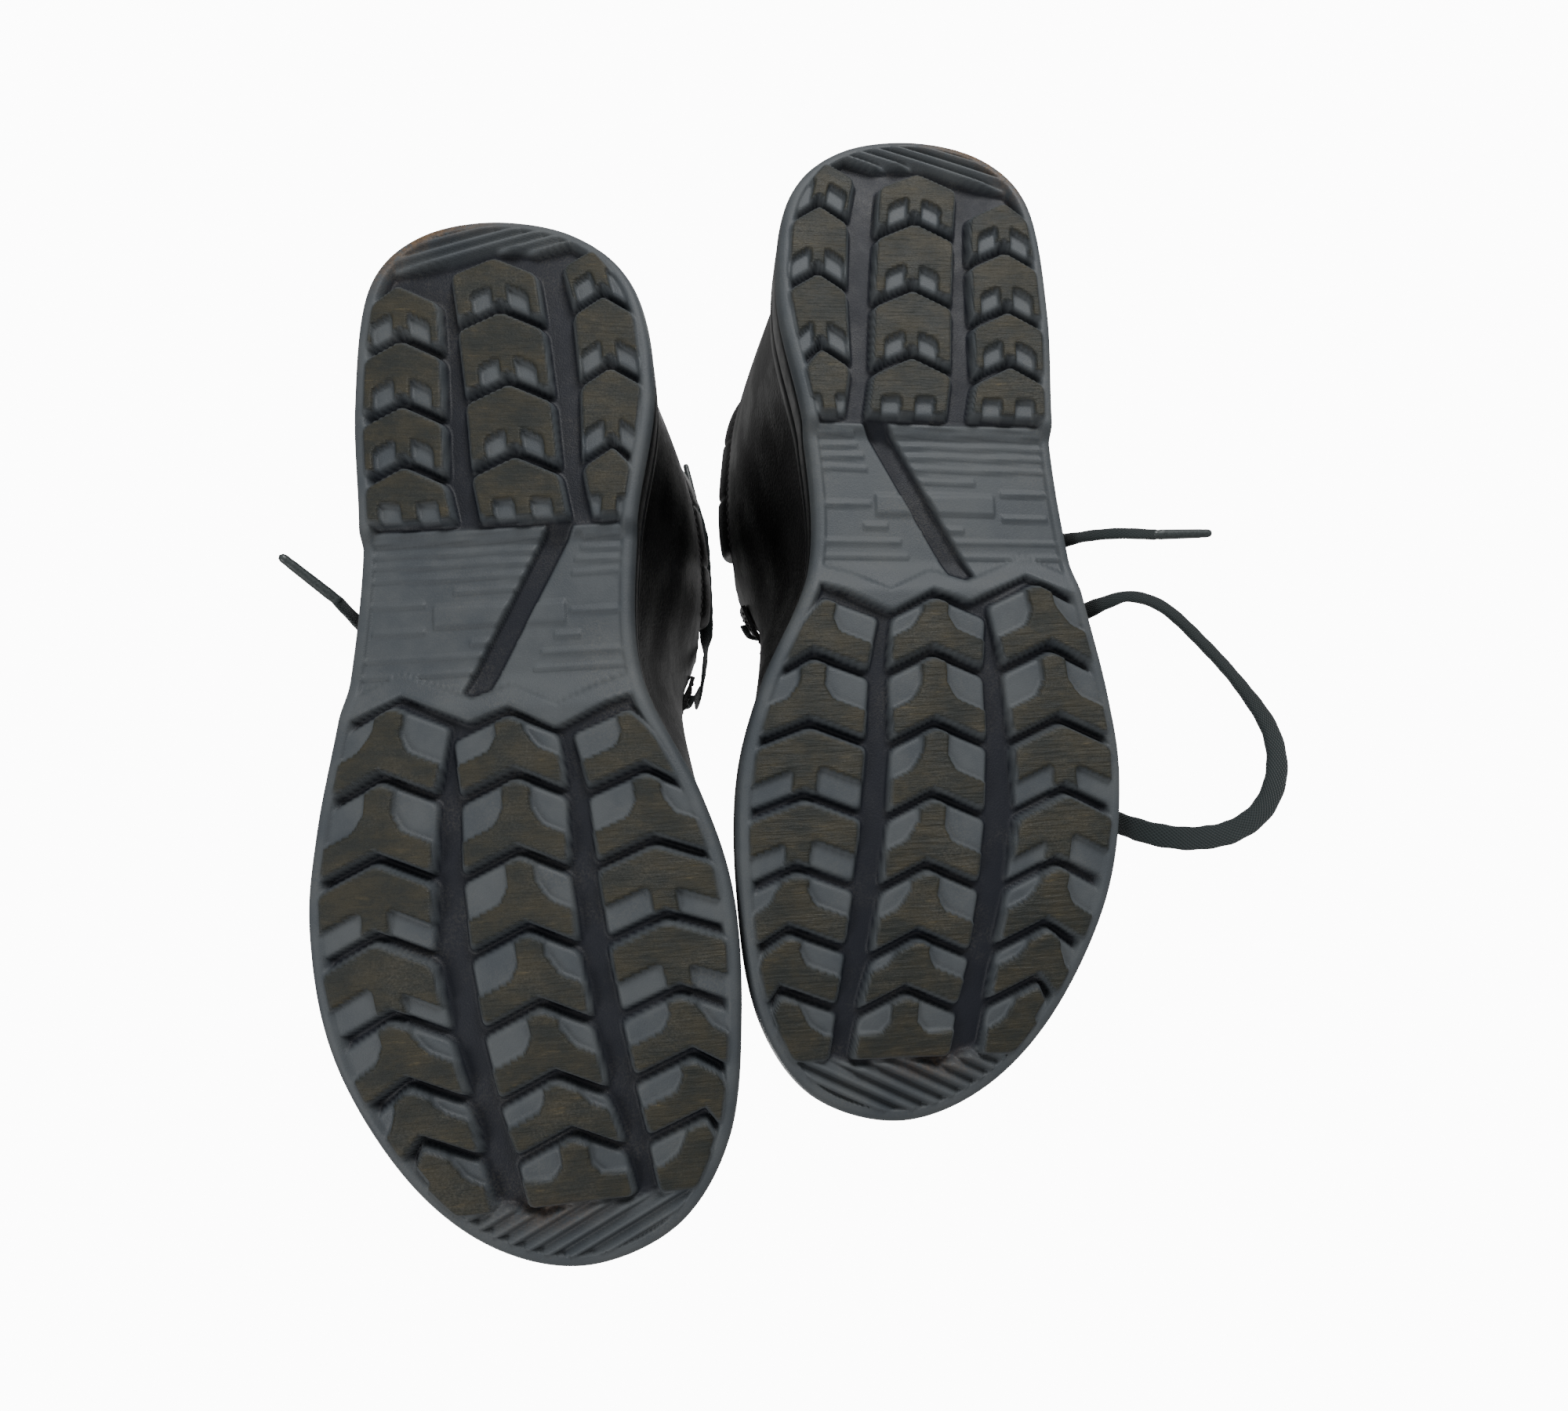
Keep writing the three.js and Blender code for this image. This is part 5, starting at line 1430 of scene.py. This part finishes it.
def stitch_row(path, normals, pitch=3.6, length=2.7, radius=0.42):
    """Stitches along a seam: spindles whose middles stand up off the leather by a half sine."""
    run = np.append(0, np.cumsum(np.linalg.norm(np.diff(path, axis=0), axis=1)))
    count = max(int(run[-1] / pitch), 1)
    t = np.linspace(0, 1, 6)
    where = (np.arange(count)[:, None] + 0.12) * pitch + t * length
    at, out = (np.stack([np.interp(where, run, c[:, k]) for k in range(3)], -1) for c in (path, normals))
    out /= np.linalg.norm(out, axis=-1, keepdims=True)
    ahead = np.gradient(at, axis=1)
    ahead /= np.linalg.norm(ahead, axis=-1, keepdims=True)
    cross = np.cross(ahead, out)
    rise = np.sin(np.pi * t)[None, :, None]
    angle = np.linspace(0, 2 * np.pi, 6, endpoint=False)[:, None]
    spoke = cross[:, :, None] * np.cos(angle) + out[:, :, None] * np.sin(angle)
    centre = at + out * (0.5 * rise - 0.2)
    return centre[:, :, None] + spoke * (radius * np.sqrt(rise))[..., None]


def seam_lines():
    """Seams as (signed stations, levels, depth): vamp, counter, backstay, collar foot and facings."""
    t = np.linspace(0, 1, 160)
    lines = []
    for sign in (-1, 1):
        v = mix(0.04, 0.95, t)
        lines += [(sign * (seam_station(v) + gap), v, 0.0) for gap in (0.11, 0.2)]
        lines += [(sign * (seam_station(v) - 0.09), v, 0.0)]
        lines += [(sign * (COUNTER_END - gap) + 0 * t, mix(0.04, 0.8, t), 0.0) for gap in (0.07, 0.15)]
        lines += [(sign * 0.37 + 0 * t, mix(0.12, 0.79, t), GAP + OVERLAY)]
        lines += [(sign * mix(0.5, 4.2, t), 0.822 + 0 * t, 0.0)]
        front = mix(5.1, 7.55, t)
        lines += [(sign * front, level + 0 * t, FACING_LIFT + OVERLAY) for level in (0.825, 0.975)]
    return lines


def stitches():
    rows = []
    for signed, v, depth in seam_lines():
        relief = creases(np.abs(signed), v) if depth == 0.0 else 0.0
        path = place(signed, v, depth + relief)
        rows.append(stitch_row(path, place(signed, v, depth + 3.0) - place(signed, v, depth)))
    for flank in FLANKS:
        stations = np.linspace(0.05, TOE - 0.05, 600)
        plan = edge_points(flank, stations, np.full(600, 1.5))
        path = np.stack([plan[:, 0], -plan[:, 1], feather(plan[:, 1])], -1)
        rows.append(stitch_row(path, np.tile((0, 0, 1.0), (600, 1)), 5.2, 4.0, 0.5))
    points, faces = joined([stitch for row in rows for stitch in row])
    for side in SIDES:
        make_piece(side + "_seam_stitches", side, points, faces, THREAD, side + "_boot", "textile")


pull_loops()
stitches()

# ---------------------------------------------------------------- parts that only show inside

INSIDE = {"puncture_plate": BOARD, "insole_board": BOARD, "steel_toe_cap": STEEL, "cap_edge_strip": LINING}
for hidden_side in SIDES:
    for hidden_node, hidden_finish in INSIDE.items():
        hidden_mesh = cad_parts[f"{hidden_side}_{hidden_node}"].data
        hidden_mesh.materials.clear()
        hidden_mesh.materials.append(hidden_finish)
